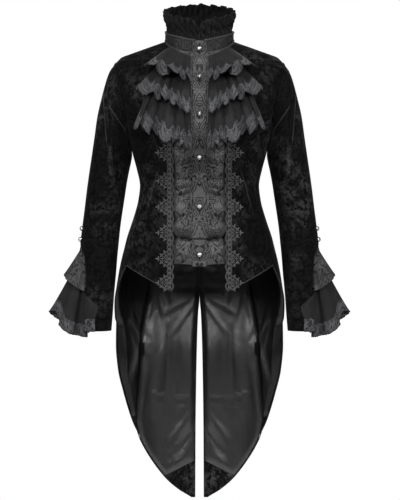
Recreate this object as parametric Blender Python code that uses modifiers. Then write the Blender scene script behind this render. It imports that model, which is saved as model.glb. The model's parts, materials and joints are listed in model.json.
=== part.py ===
# A woman's velvet tailcoat with a frilled stand collar, a lace jabot, a ruched front and swallow tails,
# standing hollow as it is worn. It is cut and sewn from curved cloth walls that meet at shared seams.
# Sizes are in millimetres, and the wearer faces -Y with the left arm at +X. The origin lies midway between
# the two points where a shoulder seam meets the collar, because the coat hangs from the shoulders there.

import math

import bmesh
import bpy
import numpy as np
from mathutils import Vector

MM = 0.001
SIDES = {"left": 1, "right": -1}

# Cloth and sewing
VELVET = 1.5
BROCADE = 1.2
SATIN = 1.0
CHIFFON = 1.1
GUIPURE = 1.2
SEAM_GAP = 0.3
LAYER_GAP = 0.9

# Neck and shoulders
NECK_HALF_WIDTH = 78.0
NECK_HALF_DEPTH = 66.0
SHOULDER_POINT = (197.0, -40.4)
NECK_POINT_Z = 2.0
NECK_COLUMNS = 4
BUST_Z = -200.0
BLADE_Z = -150.0
FRONT_NECK_RISE = 20.0
BACK_NECK_RISE = 56.0

# Armhole, an upright oval
ARMHOLE_Z = -128.0
ARMHOLE_HALF_HEIGHT = 87.0
ARMHOLE_FRONT = 58.0
ARMHOLE_BACK = 62.0
ARMHOLE_LEAN = 0.45
FRONT_PRINCESS_TURN = -8.0
BACK_PRINCESS_TURN = 174.0
SIDE_SEAM_TURN = -55.0

# Front opening
VELVET_EDGE_X = 60.0
STRAIGHT_EDGE_TOP = -160.0
FRONT_COLUMNS = (0, 0.13, 0.3, 0.5, 0.72, 1.0)
PLACKET_HALF_WIDTH = 16.0
PLACKET_LIFT = 2.6
PLACKET_BOTTOM = -515.0
PLACKET_TOP = -6.0
VEST_PUFF = 8.0
VEST_SAG = 8.0
VEST_RUCHED_FROM = -190.0

# Tails
VENT_TOP = -569.0
FACING_ROWS = 4
LINING_ROWS_ABOVE_VENT = 3
TURN_BACK = 2.5

# Rows of points that the panels share: from a hem to the armhole, then round the armhole itself
BODY_ROWS = np.linspace(0, 1, 14)
TAIL_SEAM_BOTTOM = -912.0
TAIL_ROWS = 10
SIDE_HEM = -512.0
ARM_TURNS = {
    "side_front": np.linspace(SIDE_SEAM_TURN, FRONT_PRINCESS_TURN, 4),
    "front": np.linspace(FRONT_PRINCESS_TURN, 90, 6),
    "back": np.linspace(90, BACK_PRINCESS_TURN, 5),
    "side_back": np.linspace(BACK_PRINCESS_TURN, 360 + SIDE_SEAM_TURN, 7),
}


class Table:
    """Rows of sizes with named columns, read as smooth curves along the first column."""

    def __init__(self, columns, rows):
        self.columns = columns.split()
        self.rows = np.array(sorted(rows), float)

    def at(self, column, key):
        keys = self.rows[:, 0]
        values = self.rows[:, self.columns.index(column)]
        steps = np.diff(keys)
        rates = np.diff(values) / steps
        slopes = np.concatenate([rates[:1], np.zeros(len(keys) - 2), rates[-1:]])
        before, after = rates[:-1], rates[1:]
        same_way = before * after > 0
        slopes[1:-1][same_way] = 2 * before[same_way] * after[same_way] / (before + after)[same_way]
        key = np.clip(np.asarray(key, float), keys[0], keys[-1])
        i = np.clip(np.searchsorted(keys, key) - 1, 0, len(steps) - 1)
        t = (key - keys[i]) / steps[i]
        start = (1 + 2 * t) * (1 - t) ** 2 * values[i] + t * (1 - t) ** 2 * steps[i] * slopes[i]
        end = t * t * (3 - 2 * t) * values[i + 1] - t * t * (1 - t) * steps[i] * slopes[i + 1]
        return start + end


# The body's section at each height. Above the bust the depths are those of the bust and the blades, which
# shoulder_fall() then closes over the shoulder.
TORSO = Table(
    "z half_width front back front_power back_power",
    [
        (10, 214, 132, 104, 2.5, 2.5),
        (-41, 212, 132, 104, 2.5, 2.5),
        (-85, 201, 132, 104, 2.5, 2.5),
        (-122, 190, 132, 104, 2.5, 2.5),
        (-150, 183, 132, 104, 2.5, 2.4),
        (-176, 176, 132, 104, 2.6, 2.4),
        (-200, 168, 132, 103, 2.6, 2.4),
        (-215, 163, 131, 102, 2.6, 2.4),
        (-260, 153, 121, 96, 2.5, 2.3),
        (-290, 145, 108, 89, 2.4, 2.2),
        (-331, 137, 98, 84, 2.2, 2.2),
        (-366, 141, 97, 86, 2.2, 2.2),
        (-393, 148, 99, 92, 2.2, 2.2),
        (-421, 157, 103, 100, 2.2, 2.2),
        (-448, 166, 106, 108, 2.2, 2.2),
        (-476, 173, 109, 114, 2.2, 2.2),
        (-504, 180, 111, 119, 2.2, 2.2),
        (-540, 187, 113, 123, 2.2, 2.2),
        (-600, 195, 114, 126, 2.2, 2.2),
        (-643, 197, 114, 127, 2.2, 2.2),
        (-698, 199, 114, 128, 2.2, 2.2),
        (-755, 199, 114, 130, 2.2, 2.2),
        (-812, 197, 114, 130, 2.2, 2.2),
        (-870, 193, 114, 130, 2.2, 2.2),
        (-929, 187, 114, 130, 2.2, 2.2),
        (-1066, 180, 114, 128, 2.2, 2.2),
    ],
)

# The neckline, by the angle round the neck from the centre front: the collar band's lower edge, its upper
# edge and the frill's top edge, and how far that top edge leans out.
NECK = Table(
    "angle seam_z band_top frill_top frill_lean",
    [
        (0, -35, -5, 26, 6),
        (12, -34, -3, 42, 5),
        (30, -30, 3, 48, 5),
        (60, -15, 13, 58, 6),
        (90, 2, 23, 72, 6),
        (120, 8, 31, 86, 4),
        (150, 10, 36, 97, 1),
        (180, 11, 38, 103, -2),
    ],
)

# Half the chest's width at the armhole, by height.
ARMHOLE = Table("z x", [(-215, 163), (-176, 166), (-122, 176), (-85, 186), (-58, 193.5), (-41, 197)])

# Where the long seams run, by height, as distances from the centre line.
FRONT_PRINCESS = Table(
    "z x",
    [
        (-140, 172),
        (-165, 148),
        (-200, 119),
        (-240, 103),
        (-306, 101),
        (-331, 106),
        (-382, 121),
        (-450, 137),
        (-540, 144),
    ],
)
BACK_PRINCESS = Table(
    "z x",
    [
        (-119, 176),
        (-150, 146),
        (-190, 118),
        (-260, 94),
        (-331, 78),
        (-400, 84),
        (-480, 100),
        (-578, 122),
        (-655, 139),
        (-720, 149),
        (-800, 152),
        (-860, 151),
        (-912, 143.5),
    ],
)
# The side seam's angle round the body from the centre front. Below the front's hem it is the tail's edge.
SIDE_SEAM = Table(
    "z angle",
    [
        (-199, 80),
        (-260, 77),
        (-331, 73),
        (-420, 69),
        (-512, 65),
        (-535, 71),
        (-560, 79),
        (-600, 91),
        (-643, 100),
    ],
)
FRONT_HEM = Table("x z", [(60, -571), (111, -545), (144, -526), (165, -512)])

# The tail's outline seen from the front, and half the width of the open vent between the tails.
TAIL_OUTLINE = Table(
    "z x",
    [
        (-643, 192.5),
        (-698, 193.4),
        (-755, 189.3),
        (-812, 177),
        (-870, 160.5),
        (-929, 138),
        (-973, 114.8),
        (-1018, 82),
        (-1047, 48.8),
        (-1062, 25),
        (-1066, 19),
    ],
)
# The rows of points at the tail's rounded tip: their heights on its outer edge and at the vent.
TAIL_TIP = Table(
    "row outer_z inner_z",
    [
        (0, -1066, -1066),
        (1, -1062, -1052),
        (2, -1050, -1030),
        (3, -1033, -1004),
        (4, -1015, -979),
        (5, -972, -946),
    ],
)
# The tail's soft upright folds: how deep, how wide and how far each kind leans.
TAIL_FOLDS = Table("kind depth width lean start", [(0, 4.5, 21, 1 / 260, 0.8), (1, 1.5, 11, -1 / 90, 0)])
TAIL_FOLDS_FROM_Z = -600.0
TAIL_FOLDS_FROM_Y = 30.0
VENT = Table("z x", [(-569, 0.2), (-600, 1.5), (-625, 4), (-700, 7), (-800, 9), (-900, 10.3), (-1066, 11)])

# The sleeve's rings below the armhole: the outermost and innermost points, half the depth and its middle.
SLEEVE = Table(
    "step outer_x outer_z inner_x inner_z half_depth middle_y",
    [
        (0, 197, -41, 163, -215, 60, 2),
        (1, 205, -62, 162.5, -222, 63, 2),
        (2, 214.5, -90, 161, -231, 65, 2),
        (3, 225.5, -131, 159, -244, 66, 3),
        (4, 235, -172, 156.5, -262, 65, 4),
        (5, 241, -214, 158, -276, 63, 5),
        (6, 247, -255, 162, -296, 60, 6),
        (7, 253, -295, 167, -322, 58, 7),
        (8, 259, -338, 172, -355, 56, 7),
        (9, 264, -380, 177, -388, 54, 6),
        (10, 269, -420, 182, -424, 52, 4),
        (11, 274, -462, 186, -464, 50, 2),
        (12, 276, -490, 188.5, -490, 48, 0),
        (13, 277, -530, 191.5, -530, 47, -3),
        (14, 277, -580, 196, -580, 45, -6),
        (15, 277.5, -625, 199, -625, 44, -9),
        (16, 278, -663, 202, -663, 43, -11),
    ],
)
# The angles round the sleeve of its seam at the front of the arm and of the one at the back, which opens
# into the cuff's vent.
SLEEVE_SEAMS = Table(
    "step front vent_front vent_back",
    [
        (0, -55, 153, 153),
        (4, -62, 124, 124),
        (8, -65, 101, 101),
        (11, -65, 90, 90.5),
        (11.4, -65, 66, 108),
        (12, -65, 45, 128),
        (13, -65, 33, 138),
        (14, -65, 30, 142),
        (16, -65, 27, 145),
    ],
)
SLEEVE_STEPS = (0, 0.6, 1.3, 2.2, 3.2, 4.2, 5.2, 6.4, 7.6, 8.8, 10, 11, 11.4, 12, 13, 14.4, 16)

# The jabot's three tiers on one side: where each is sewn on, and its hem, across from the placket outwards.
JABOT = {
    "upper": Table(
        "across top_x top_z hem_x hem_z",
        [
            (0, 20, -42, 19, -112),
            (0.25, 33, -38, 40, -106),
            (0.5, 46, -32, 62, -102),
            (0.75, 58, -25, 90, -88),
            (1, 70, -18, 114, -70),
        ],
    ),
    "middle": Table(
        "across top_x top_z hem_x hem_z",
        [
            (0, 20, -82, 18, -178),
            (0.25, 36, -78, 42, -166),
            (0.5, 54, -70, 70, -150),
            (0.75, 70, -58, 102, -139),
            (1, 82, -46, 139, -120),
        ],
    ),
    "lower": Table(
        "across top_x top_z hem_x hem_z",
        [
            (0, 20, -140, 17, -250),
            (0.25, 42, -132, 46, -236),
            (0.5, 64, -121, 80, -222),
            (0.75, 86, -105, 114, -209),
            (1, 106, -88, 149, -192),
        ],
    ),
}
JABOT_WAVES = {"upper": 3, "middle": 4, "lower": 5}
JABOT_LIFT = {"upper": (0.8, 20.0), "middle": (0.8, 13.0), "lower": (0.8, 5.5)}
JABOT_SWING = (0.2, 1.25)
JABOT_UNEVEN = {"upper": 0.5, "middle": -0.6, "lower": 0.55}
JABOT_FLUTE = 0.62
JABOT_ZIGZAG = 5.0
JABOT_ROWS = 4

FRILL_WAVES = 34
FRILL_SWING = (0.45, 1.15)
FRILL_LEVELS = Table("up lean", [(0, -2.2), (0.35, -3.0), (0.7, 1.0), (1, 0)])
FRILL_ROOT = 5.0
FRILL_INSET = 2.2

# The cuff's frills hang from the top of the vent: how far each reaches and how far it swings out, from the
# vent's front edge round to its back edge.
CUFF_APEX = {"upper": (262.0, 4.0, -458.0), "lower": (257.0, 3.0, -458.0)}
CUFF_FRILL = {
    "upper": Table(
        "across reach swing y",
        [(0, 116, -4, -28), (0.25, 110, 10, -24), (0.5, 96, 28, 2), (0.75, 106, 14, 22), (1, 112, -4, 25)],
    ),
    "lower": Table(
        "across reach swing y",
        [(0, 219, -4, -32), (0.25, 216, 7, -32), (0.5, 186, 27, 2), (0.75, 206, 13, 20), (1, 212, -4, 24)],
    ),
}
CUFF_WAVES = {"upper": 3, "lower": 4}
CUFF_SWING = {"upper": 0.9, "lower": 1.2}
CUFF_ROWS = 4
CUFF_ROOT_STEP = 10.9
CUFF_ROOT_TURNS = (85, 94)
CUFF_FIRST_ROW = {"upper": 0.3, "lower": 0.18}
CUFF_BULGE = {"upper": 7.0, "lower": 0.0}
CUFF_ROOT_GAP = {"upper": 1.3, "lower": 3.2}

FRONT_BUTTONS = (-25, -93, -177, -272, -382, -489)
BUTTON_RADIUS = 6.5
# A button's outline from its shank to the top of its dome, in lengths of its radius
BUTTON_PROFILE = Table(
    "point across up",
    [
        (0, 0.04, 0),
        (1, 0.3, 0),
        (2, 0.3, 0.36),
        (3, 1, 0.5),
        (4, 0.72, 0.92),
        (5, 0.04, 1.15),
    ],
)
CUFF_BUTTONS = (-429, -453)
CUFF_BUTTON_RADIUS = 4.8
CUFF_BUTTON_TURN = 78.0

TRIM_TOP = -196.0
TRIM_BOTTOM = -568.0
TRIM_INNER_X = 60.6
TRIM_BAND = 11.5
TRIM_POINT_REACH = 22.5
TRIM_POINT_HALF = 19.0
TRIM_TIP_HALF = 7.0
TRIM_TIP_LIFT = 1.6
TRIM_POINTS = (-261, -323, -382, -440, -498, -552)

# The creases between the ruched front's puffs, from the neck to its hem
CREASES = Table(
    "number inner_z outer_z",
    [
        (0, -36, -24),
        (1, -96, -90),
        (2, -150, -142),
        (3, -202, -192),
        (4, -238, -254),
        (5, -280, -286),
        (6, -318, -308),
        (7, -346, -358),
        (8, -396, -412),
        (9, -454, -442),
        (10, -512, -508),
    ],
)
# Across the ruched front, from under the placket to under the velvet: how full the puffs are, and how far
# the cloth between them lies from the skin.
VEST_ACROSS = Table(
    "x puff flat",
    [
        (10, 0, -2),
        (17.5, 0, -2),
        (28, 0.8, 0.1),
        (41, 1, 0.1),
        (54, 0.4, 0.1),
        (58.5, 0, -3.2),
        (66, 0, -3.2),
    ],
)
ROWS_PER_PUFF = 3
HIDDEN_CREASES = 3


# The skin, which is the outer face of the velvet


def shoulder_line(x, rise):
    """Height of the shoulder seam over a place x; over the neck's hole it rises in a dome."""
    x = np.abs(x)
    slope = (NECK_POINT_Z - SHOULDER_POINT[1]) / (SHOULDER_POINT[0] - NECK_HALF_WIDTH)
    dome = rise * (1 - np.minimum(x / NECK_HALF_WIDTH, 1) ** 2)
    return NECK_POINT_Z - slope * np.maximum(x - NECK_HALF_WIDTH, 0) + dome


def shoulder_fall(x, z, start, rise):
    """The share of the chest's depth that is left at a height, from 1 at start to 0 on the shoulder."""
    t = np.clip((z - start) / (shoulder_line(x, rise) - start), 0, 0.9995)
    return (1 - t * t) ** 0.75


def half_depth(x, z, back):
    side = "back" if back else "front"
    power = TORSO.at(side + "_power", z)
    share = np.minimum(np.abs(x) / TORSO.at("half_width", z), 1)
    depth = TORSO.at(side, z) * (1 - share**power) ** (1 / power)
    if back:
        return depth * shoulder_fall(x, z, BLADE_Z, BACK_NECK_RISE)
    return depth * shoulder_fall(x, z, BUST_Z, FRONT_NECK_RISE)


def face(x, z, back=False):
    """A point of the front or back, by its place x across and its height."""
    x, z = np.broadcast_arrays(np.asarray(x, float), np.asarray(z, float))
    depth = half_depth(x, z, back)
    edge = ARMHOLE.at("x", z)
    turn = np.clip((z - ARMHOLE_Z) / ARMHOLE_HALF_HEIGHT, -1, 1)
    wanted = (ARMHOLE_BACK if back else ARMHOLE_FRONT) * np.sqrt(1 - turn**2)
    ease = np.clip((z + 200) / 55, 0, 1)
    ease = ease * ease * (3 - 2 * ease)
    depth = depth + (wanted - half_depth(edge, z, back)) * ease * np.minimum(np.abs(x) / edge, 1) ** 4
    return np.stack([x, depth if back else -depth, z], axis=-1)


def back_face(x, z):
    return face(x, z, back=True)


def around(angle, z):
    """A point of the side, by its angle round the body from the centre front."""
    angle, z = np.broadcast_arrays(np.radians(angle), np.asarray(z, float))
    width = TORSO.at("half_width", z)
    front = np.cos(angle) > 0
    power = np.where(front, TORSO.at("front_power", z), TORSO.at("back_power", z))
    depth = np.where(front, -TORSO.at("front", z), TORSO.at("back", z))
    x = width * np.abs(np.sin(angle)) ** (2 / power)
    return np.stack([x, depth * np.abs(np.cos(angle)) ** (2 / power), z], axis=-1)


def angle_of(x, z, back):
    power = TORSO.at("back_power" if back else "front_power", z)
    share = np.clip(x / TORSO.at("half_width", z), 0, 1)
    turn = np.degrees(np.arcsin(share ** (power / 2)))
    return 180 - turn if back else turn


def unit(vectors):
    return vectors / np.maximum(np.linalg.norm(vectors, axis=-1, keepdims=True), 1e-9)


def outward(surface, p, q, step_p=0.5, step_q=0.5):
    """Unit normals of a surface of two values, turned away from the body's own axis."""
    across = surface(p + step_p, q) - surface(p - step_p, q)
    along = surface(p, q + step_q) - surface(p, q - step_q)
    normal = unit(np.cross(across, along))
    middle = surface(p, q) * (1, 1, 0)
    return np.where((normal * middle).sum(-1, keepdims=True) < 0, -normal, normal)


def armhole(turn):
    """Points of the armhole and the way its cloth is thick, by the angle from the front over the top."""
    turn = np.radians(turn)
    z = ARMHOLE_Z + ARMHOLE_HALF_HEIGHT * np.sin(turn)
    depth = np.where(np.cos(turn) > 0, ARMHOLE_FRONT, ARMHOLE_BACK)
    points = np.stack([ARMHOLE.at("x", z), -depth * np.cos(turn), z], axis=-1)
    thick = np.stack([np.full_like(turn, ARMHOLE_LEAN), -np.cos(turn), np.sin(turn)], axis=-1)
    return points, unit(thick)


def neckline(angle, column="seam_z", grow=0.0):
    """A ring round the neck, by the angle from the centre front, for the wearer's left or the whole way."""
    turn = np.radians(angle)
    z = NECK.at(column, np.abs((np.asarray(angle) + 180) % 360 - 180))
    return np.stack(
        [(NECK_HALF_WIDTH + grow) * np.sin(turn), -(NECK_HALF_DEPTH + grow) * np.cos(turn), z], axis=-1
    )


def blended(count, reach=8):
    """How strongly each row or column follows its last one, falling off over a fixed number of them."""
    return np.clip(1 - np.arange(count)[::-1] / reach, 0, 1) ** 3


def match_edges(grid, left=None, right=None, top=None):
    """Shifts a grid so that its edges lie on the given rows of points, which seams share."""
    rows, columns = grid.shape[:2]
    u = np.linspace(0, 1, columns)[None, :, None]
    grid = grid.copy()
    if left is not None:
        grid += (1 - u) ** 3 * (left - grid[:, 0])[:, None]
    if right is not None:
        grid += u**3 * (right - grid[:, -1])[:, None]
    if top is not None:
        grid += blended(rows)[:, None, None] * (top - grid[-1])[None]
    return grid


def trimmed(grid, right=SEAM_GAP / 2, left=SEAM_GAP / 2, ends=SEAM_GAP / 2):
    """The grid with its four edges drawn in, so that a seam has a gap."""
    grid = grid.copy()
    for edge, inner in ((0, 1), (-1, -2)):
        grid[edge] += unit(grid[inner] - grid[edge]) * ends
    for edge, inner, gap in ((0, 1, left), (-1, -2, right)):
        gap = np.broadcast_to(gap, len(grid))[:, None]
        grid[:, edge] += unit(grid[:, inner] - grid[:, edge]) * gap
    return grid


# Making solids


def material(name, colour, roughness, metallic=0.0):
    made = bpy.data.materials.new(name)
    made.use_nodes = True
    shader = made.node_tree.nodes["Principled BSDF"]
    shader.inputs["Base Color"].default_value = (*colour, 1)
    shader.inputs["Roughness"].default_value = roughness
    shader.inputs["Metallic"].default_value = metallic
    return made


def new_object(name, mesh, finish, collection):
    mesh.materials.append(finish)
    mesh.shade_smooth()
    mesh.set_sharp_from_angle(angle=math.radians(50))
    made = bpy.data.objects.new(name, mesh)
    collection.objects.link(made)
    return made


def mesh_of_grid(name, grid, side=1):
    """An open mesh through a grid of points, mirrored for the wearer's right."""
    rows, columns = grid.shape[:2]
    points = grid.reshape(-1, 3) * (side * MM, MM, MM)
    faces = []
    for r in range(rows - 1):
        for c in range(columns - 1):
            a = r * columns + c
            quad = (a, a + 1, a + columns + 1, a + columns)
            faces.append(quad if side > 0 else quad[::-1])
    mesh = bpy.data.meshes.new(name)
    mesh.from_pydata(points.tolist(), [], faces)
    return mesh


def cloth_wall(name, grid, thick, depth, finish, collection, side=1):
    """A closed wall between a grid of outer points and the same points moved in along thick."""
    rows, columns = grid.shape[:2]
    size = rows * columns
    points = np.concatenate([grid.reshape(-1, 3), (grid - thick * depth).reshape(-1, 3)])
    points = points * (side * MM, MM, MM)
    rim = list(range(columns))
    rim += [r * columns + columns - 1 for r in range(1, rows)]
    rim += [(rows - 1) * columns + c for c in range(columns - 2, -1, -1)]
    rim += [r * columns for r in range(rows - 2, 0, -1)]
    faces = []
    for r in range(rows - 1):
        for c in range(columns - 1):
            a = r * columns + c
            faces.append((a, a + 1, a + columns + 1, a + columns))
            faces.append((size + a, size + a + columns, size + a + columns + 1, size + a + 1))
    for a, b in zip(rim, rim[1:] + rim[:1]):
        faces.append((b, a, size + a, size + b))
    mesh = bpy.data.meshes.new(name)
    mesh.from_pydata(points.tolist(), [], faces)
    shape = bmesh.new()
    shape.from_mesh(mesh)
    bmesh.ops.recalc_face_normals(shape, faces=shape.faces)
    shape.to_mesh(mesh)
    shape.free()
    return new_object(name, mesh, finish, collection)


def frilled_sheet(name, grid, depth, finish, collection, side=1):
    """A loose frill: an open sheet, thickened evenly to both sides."""
    made = new_object(name, mesh_of_grid(name, grid, side), finish, collection)
    solid = made.modifiers.new("cloth", "SOLIDIFY")
    solid.thickness = depth * MM
    solid.offset = 0
    return made


def meander(waves, swing, samples, uneven=0.0):
    """A gathered edge seen from above, as a curve whose heading swings like a pendulum: how far along and
    how far out each sample lies, both in lengths of the gathered edge."""
    fine = 24
    s = np.linspace(0, 1, waves * samples * fine + 1)
    phase = s + uneven * np.sin(2 * math.pi * s) / (2 * math.pi)
    heading = swing * np.cos(2 * math.pi * waves * phase)
    steps = np.stack([np.cos(heading), np.sin(heading)], axis=-1)
    path = np.concatenate([[[0, 0]], np.cumsum((steps[1:] + steps[:-1]) / 2, axis=0)])
    path = path[::fine] / path[-1, 0]
    return path[:, 0], path[:, 1] - path[:, 1].min()


def on_panel(grid, x, z):
    """Points on a panel's own facets, by their places x across and their heights."""
    quads = np.stack([grid[:-1, :-1], grid[:-1, 1:], grid[1:, 1:], grid[1:, :-1]], axis=2)
    quads = quads.reshape(-1, 4, 3)
    a, b, c = np.concatenate([quads[:, [0, 1, 2]], quads[:, [0, 2, 3]]]).transpose(1, 0, 2)
    x, z = np.broadcast_arrays(np.asarray(x, float), np.asarray(z, float))
    dx, dz = x[..., None] - c[:, 0], z[..., None] - c[:, 2]
    area = (b[:, 2] - c[:, 2]) * (a[:, 0] - c[:, 0]) + (c[:, 0] - b[:, 0]) * (a[:, 2] - c[:, 2])
    area = np.where(np.abs(area) < 1e-9, 1e-9, area)
    first = ((b[:, 2] - c[:, 2]) * dx + (c[:, 0] - b[:, 0]) * dz) / area
    second = ((c[:, 2] - a[:, 2]) * dx + (a[:, 0] - c[:, 0]) * dz) / area
    weights = np.stack([first, second, 1 - first - second])
    best = weights.min(0).argmax(-1)[..., None]
    heights = weights[0] * a[:, 1] + weights[1] * b[:, 1] + weights[2] * c[:, 1]
    return np.stack([x, np.take_along_axis(heights, best, -1)[..., 0], z], axis=-1)


# The bodice


def princess_seam(back):
    """The seam from the hem to the armhole that a front or back shares with its side panel."""
    table = BACK_PRINCESS if back else FRONT_PRINCESS
    end = armhole(BACK_PRINCESS_TURN if back else FRONT_PRINCESS_TURN)[0]
    hem = VENT_TOP if back else FRONT_HEM.at("z", FRONT_PRINCESS.at("x", -528))
    z = hem + (end[2] - hem) * BODY_ROWS
    if back:
        z = np.concatenate([np.linspace(TAIL_SEAM_BOTTOM, VENT_TOP, TAIL_ROWS)[:-1], z])
    x = table.at("x", z)
    points = face(x, z, back)
    points += blended(len(z))[:, None] * (end - points[-1])
    return x, z, points


def side_seam():
    """Heights and angles of the side seam, which shares its rows with the panels on both sides."""
    end = armhole(SIDE_SEAM_TURN)[0]
    z = SIDE_HEM + (end[2] - SIDE_HEM) * BODY_ROWS
    points = around(side_edge(z), z)
    points += blended(len(z))[:, None] * (end - points[-1])
    return z, points


def front_grid():
    """The velvet front, from the lace edge to the princess seam, and from the hem to the shoulder."""
    columns = np.array(FRONT_COLUMNS)
    seam_x, seam_z, seam = princess_seam(back=False)
    top, top_thick = armhole(ARM_TURNS["front"])
    low = len(seam_z) - 1
    outer_z = np.concatenate([seam_z[:-1], top[:, 2]])
    outer_x = np.concatenate([seam_x[:-1], top[:, 0]])
    inner_start = FRONT_HEM.at("z", VELVET_EDGE_X)
    lift = np.sin(np.linspace(0, math.pi / 2, len(top)))
    edge_z = inner_start + (STRAIGHT_EDGE_TOP - inner_start) * BODY_ROWS[:-1]
    inner_z = np.concatenate([edge_z, STRAIGHT_EDGE_TOP + (NECK_POINT_Z - STRAIGHT_EDGE_TOP) * lift])
    neck_angles = np.linspace(0, 90, 91)
    neck_points = neckline(neck_angles)
    on_neck = inner_z > np.interp(VELVET_EDGE_X, neck_points[:, 0], neck_points[:, 2])
    inner_angle = np.interp(inner_z, neck_points[:, 2], neck_angles)
    inner_x = np.where(on_neck, neckline(inner_angle)[:, 0], VELVET_EDGE_X)
    x = inner_x[:, None] + (outer_x - inner_x)[:, None] * columns
    z = inner_z[:, None] + (outer_z - inner_z)[:, None] * columns
    z[0] = FRONT_HEM.at("z", x[0])
    thick = outward(face, x, np.minimum(z, shoulder_line(x, FRONT_NECK_RISE) - 1))
    grid = face(x, z)
    inner = np.where(on_neck[:, None], neckline(inner_angle), grid[:, 0])
    grid = match_edges(grid, left=inner, right=np.concatenate([seam[:-1], top]))
    grid[-1, :, 1] = 0
    thick[low:, -1] = top_thick
    thick[-1, :-1] *= (1, 0, 1)
    return grid, unit(thick)


def side_front_grid():
    """The panel between the princess seam and the side seam, from the hem to the armhole."""
    top, top_thick = armhole(ARM_TURNS["side_front"][::-1])
    columns = np.linspace(0, 1, len(top))
    seam_x, seam_z, seam = princess_seam(back=False)
    side_z, side = side_seam()
    z = seam_z[:, None] + (side_z - seam_z)[:, None] * columns
    first = angle_of(seam_x, seam_z, back=False)
    angles = first[:, None] + (side_edge(side_z) - first)[:, None] * columns
    thick = outward(around, angles, z)
    grid = match_edges(around(angles, z), left=seam, right=side, top=top)
    thick[:, 0] = outward(face, seam_x, seam_z)
    thick[-1] = top_thick
    return grid, unit(thick)


def drape_tail(grid):
    """Soft upright folds of the hanging tail, by how squarely each place faces backwards."""
    x, y, z = np.moveaxis(grid, -1, 0)
    loose = np.clip((TAIL_FOLDS_FROM_Z - z) / 300, 0, 1) * np.clip((y - TAIL_FOLDS_FROM_Y) / 60, 0, 1)
    folds = 0
    for _, depth, width, lean, start in TAIL_FOLDS.rows:
        folds = folds + depth * np.sin(x / width + start + z * lean)
    return grid + (loose * folds)[..., None] * (0, 1, 0)


def back_grid():
    """The centre back, in one length from the collar and shoulder to the tail's tip."""
    seam_x, seam_z, seam = princess_seam(back=True)
    top, top_thick = armhole(ARM_TURNS["back"][::-1])
    tip = TAIL_TIP.rows[:, 1:]
    low = len(tip) + len(seam_z) - 1
    lift = np.sin(np.linspace(0, math.pi / 2, len(top)))
    neck_z = NECK.at("seam_z", 180)
    outer_z = np.concatenate([tip[:, 0], seam_z[:-1], top[:, 2]])
    outer_x = np.concatenate([TAIL_OUTLINE.at("x", tip[:, 0]), seam_x[:-1], top[:, 0]])
    inner_z = np.concatenate([tip[:, 1], seam_z[:-1] + 9 * np.clip((VENT_TOP - seam_z[:-1]) / 343, 0, 1)])
    inner_z = np.concatenate([inner_z, top[0, 2] + (neck_z - top[0, 2]) * lift])
    inner_x = np.where(inner_z < VENT_TOP, VENT.at("x", inner_z), 0)
    over = NECK_HALF_WIDTH * np.sin(np.linspace(0, math.pi / 2, NECK_COLUMNS + 1))
    last_x = np.concatenate([over, np.linspace(NECK_HALF_WIDTH, SHOULDER_POINT[0], 4)[1:]])
    columns = np.linspace(0, 1, len(last_x))
    x = inner_x[:, None] + (outer_x - inner_x)[:, None] * columns
    z = inner_z[:, None] + (outer_z - inner_z)[:, None] * columns
    over_neck = last_x <= NECK_HALF_WIDTH + 1e-6
    neck_points = neckline(180 - np.degrees(np.arcsin(np.minimum(last_x / NECK_HALF_WIDTH, 1))))
    top_z = np.where(over_neck, neck_points[:, 2], shoulder_line(last_x, BACK_NECK_RISE))
    blend = np.concatenate([np.zeros(low), lift])[:, None]
    x += (last_x - x[-1]) * blend
    z += (top_z - z[-1]) * blend**2
    thick = outward(back_face, x, np.minimum(z, shoulder_line(x, BACK_NECK_RISE) - 1))
    grid = back_face(x, z)
    top_row = np.where(over_neck[:, None], neck_points, grid[-1] * (1, 0, 1))
    tip_edge = grid[: len(tip), -1]
    grid = match_edges(grid, right=np.concatenate([tip_edge, seam[:-1], top]), top=top_row)
    thick[low:, -1] = top_thick
    thick[-1, NECK_COLUMNS:-1] *= (1, 0, 1)
    thick[:, 0] *= (0, 1, 1)
    return drape_tail(grid), unit(thick)


def side_edge(z):
    """Angle round the body of the side seam and, below it, of the tail's front edge."""
    by_outline = angle_of(TAIL_OUTLINE.at("x", z), z, back=True)
    return np.where(z > -643, SIDE_SEAM.at("angle", z), by_outline)


def side_back_grid():
    """The side back, from the armhole down into the tail, where it tapers to the tail's edge."""
    top, top_thick = armhole(ARM_TURNS["side_back"])
    columns = np.linspace(0, 1, len(top))
    seam_x, seam_z, seam = princess_seam(back=True)
    side_z, side = side_seam()
    edge_z = np.linspace(TAIL_SEAM_BOTTOM, SIDE_HEM, TAIL_ROWS)[:-1]
    side_z = np.concatenate([edge_z, side_z])
    first = angle_of(seam_x, seam_z, back=True)
    last = np.minimum(side_edge(side_z), first - 1.5)
    side = np.concatenate([around(last[: len(edge_z)], edge_z), side])
    z = seam_z[:, None] + (side_z - seam_z)[:, None] * columns
    angles = first[:, None] + (last - first)[:, None] * columns
    thick = outward(around, angles, z)
    grid = match_edges(around(angles, z), left=seam, right=side, top=top)
    thick[:, 0] = outward(back_face, seam_x, seam_z)
    thick[-1] = top_thick
    return drape_tail(grid), unit(thick)


def moved(grid, thick, distance):
    return grid + thick * distance


def lining_of(grid, thick, first, count):
    """Satin inside some of a panel's rows."""
    rows = slice(first, first + count)
    return moved(grid[rows], thick[rows], -(VELVET + LAYER_GAP)), thick[rows]


# The ruched front, its placket and the collar


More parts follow.
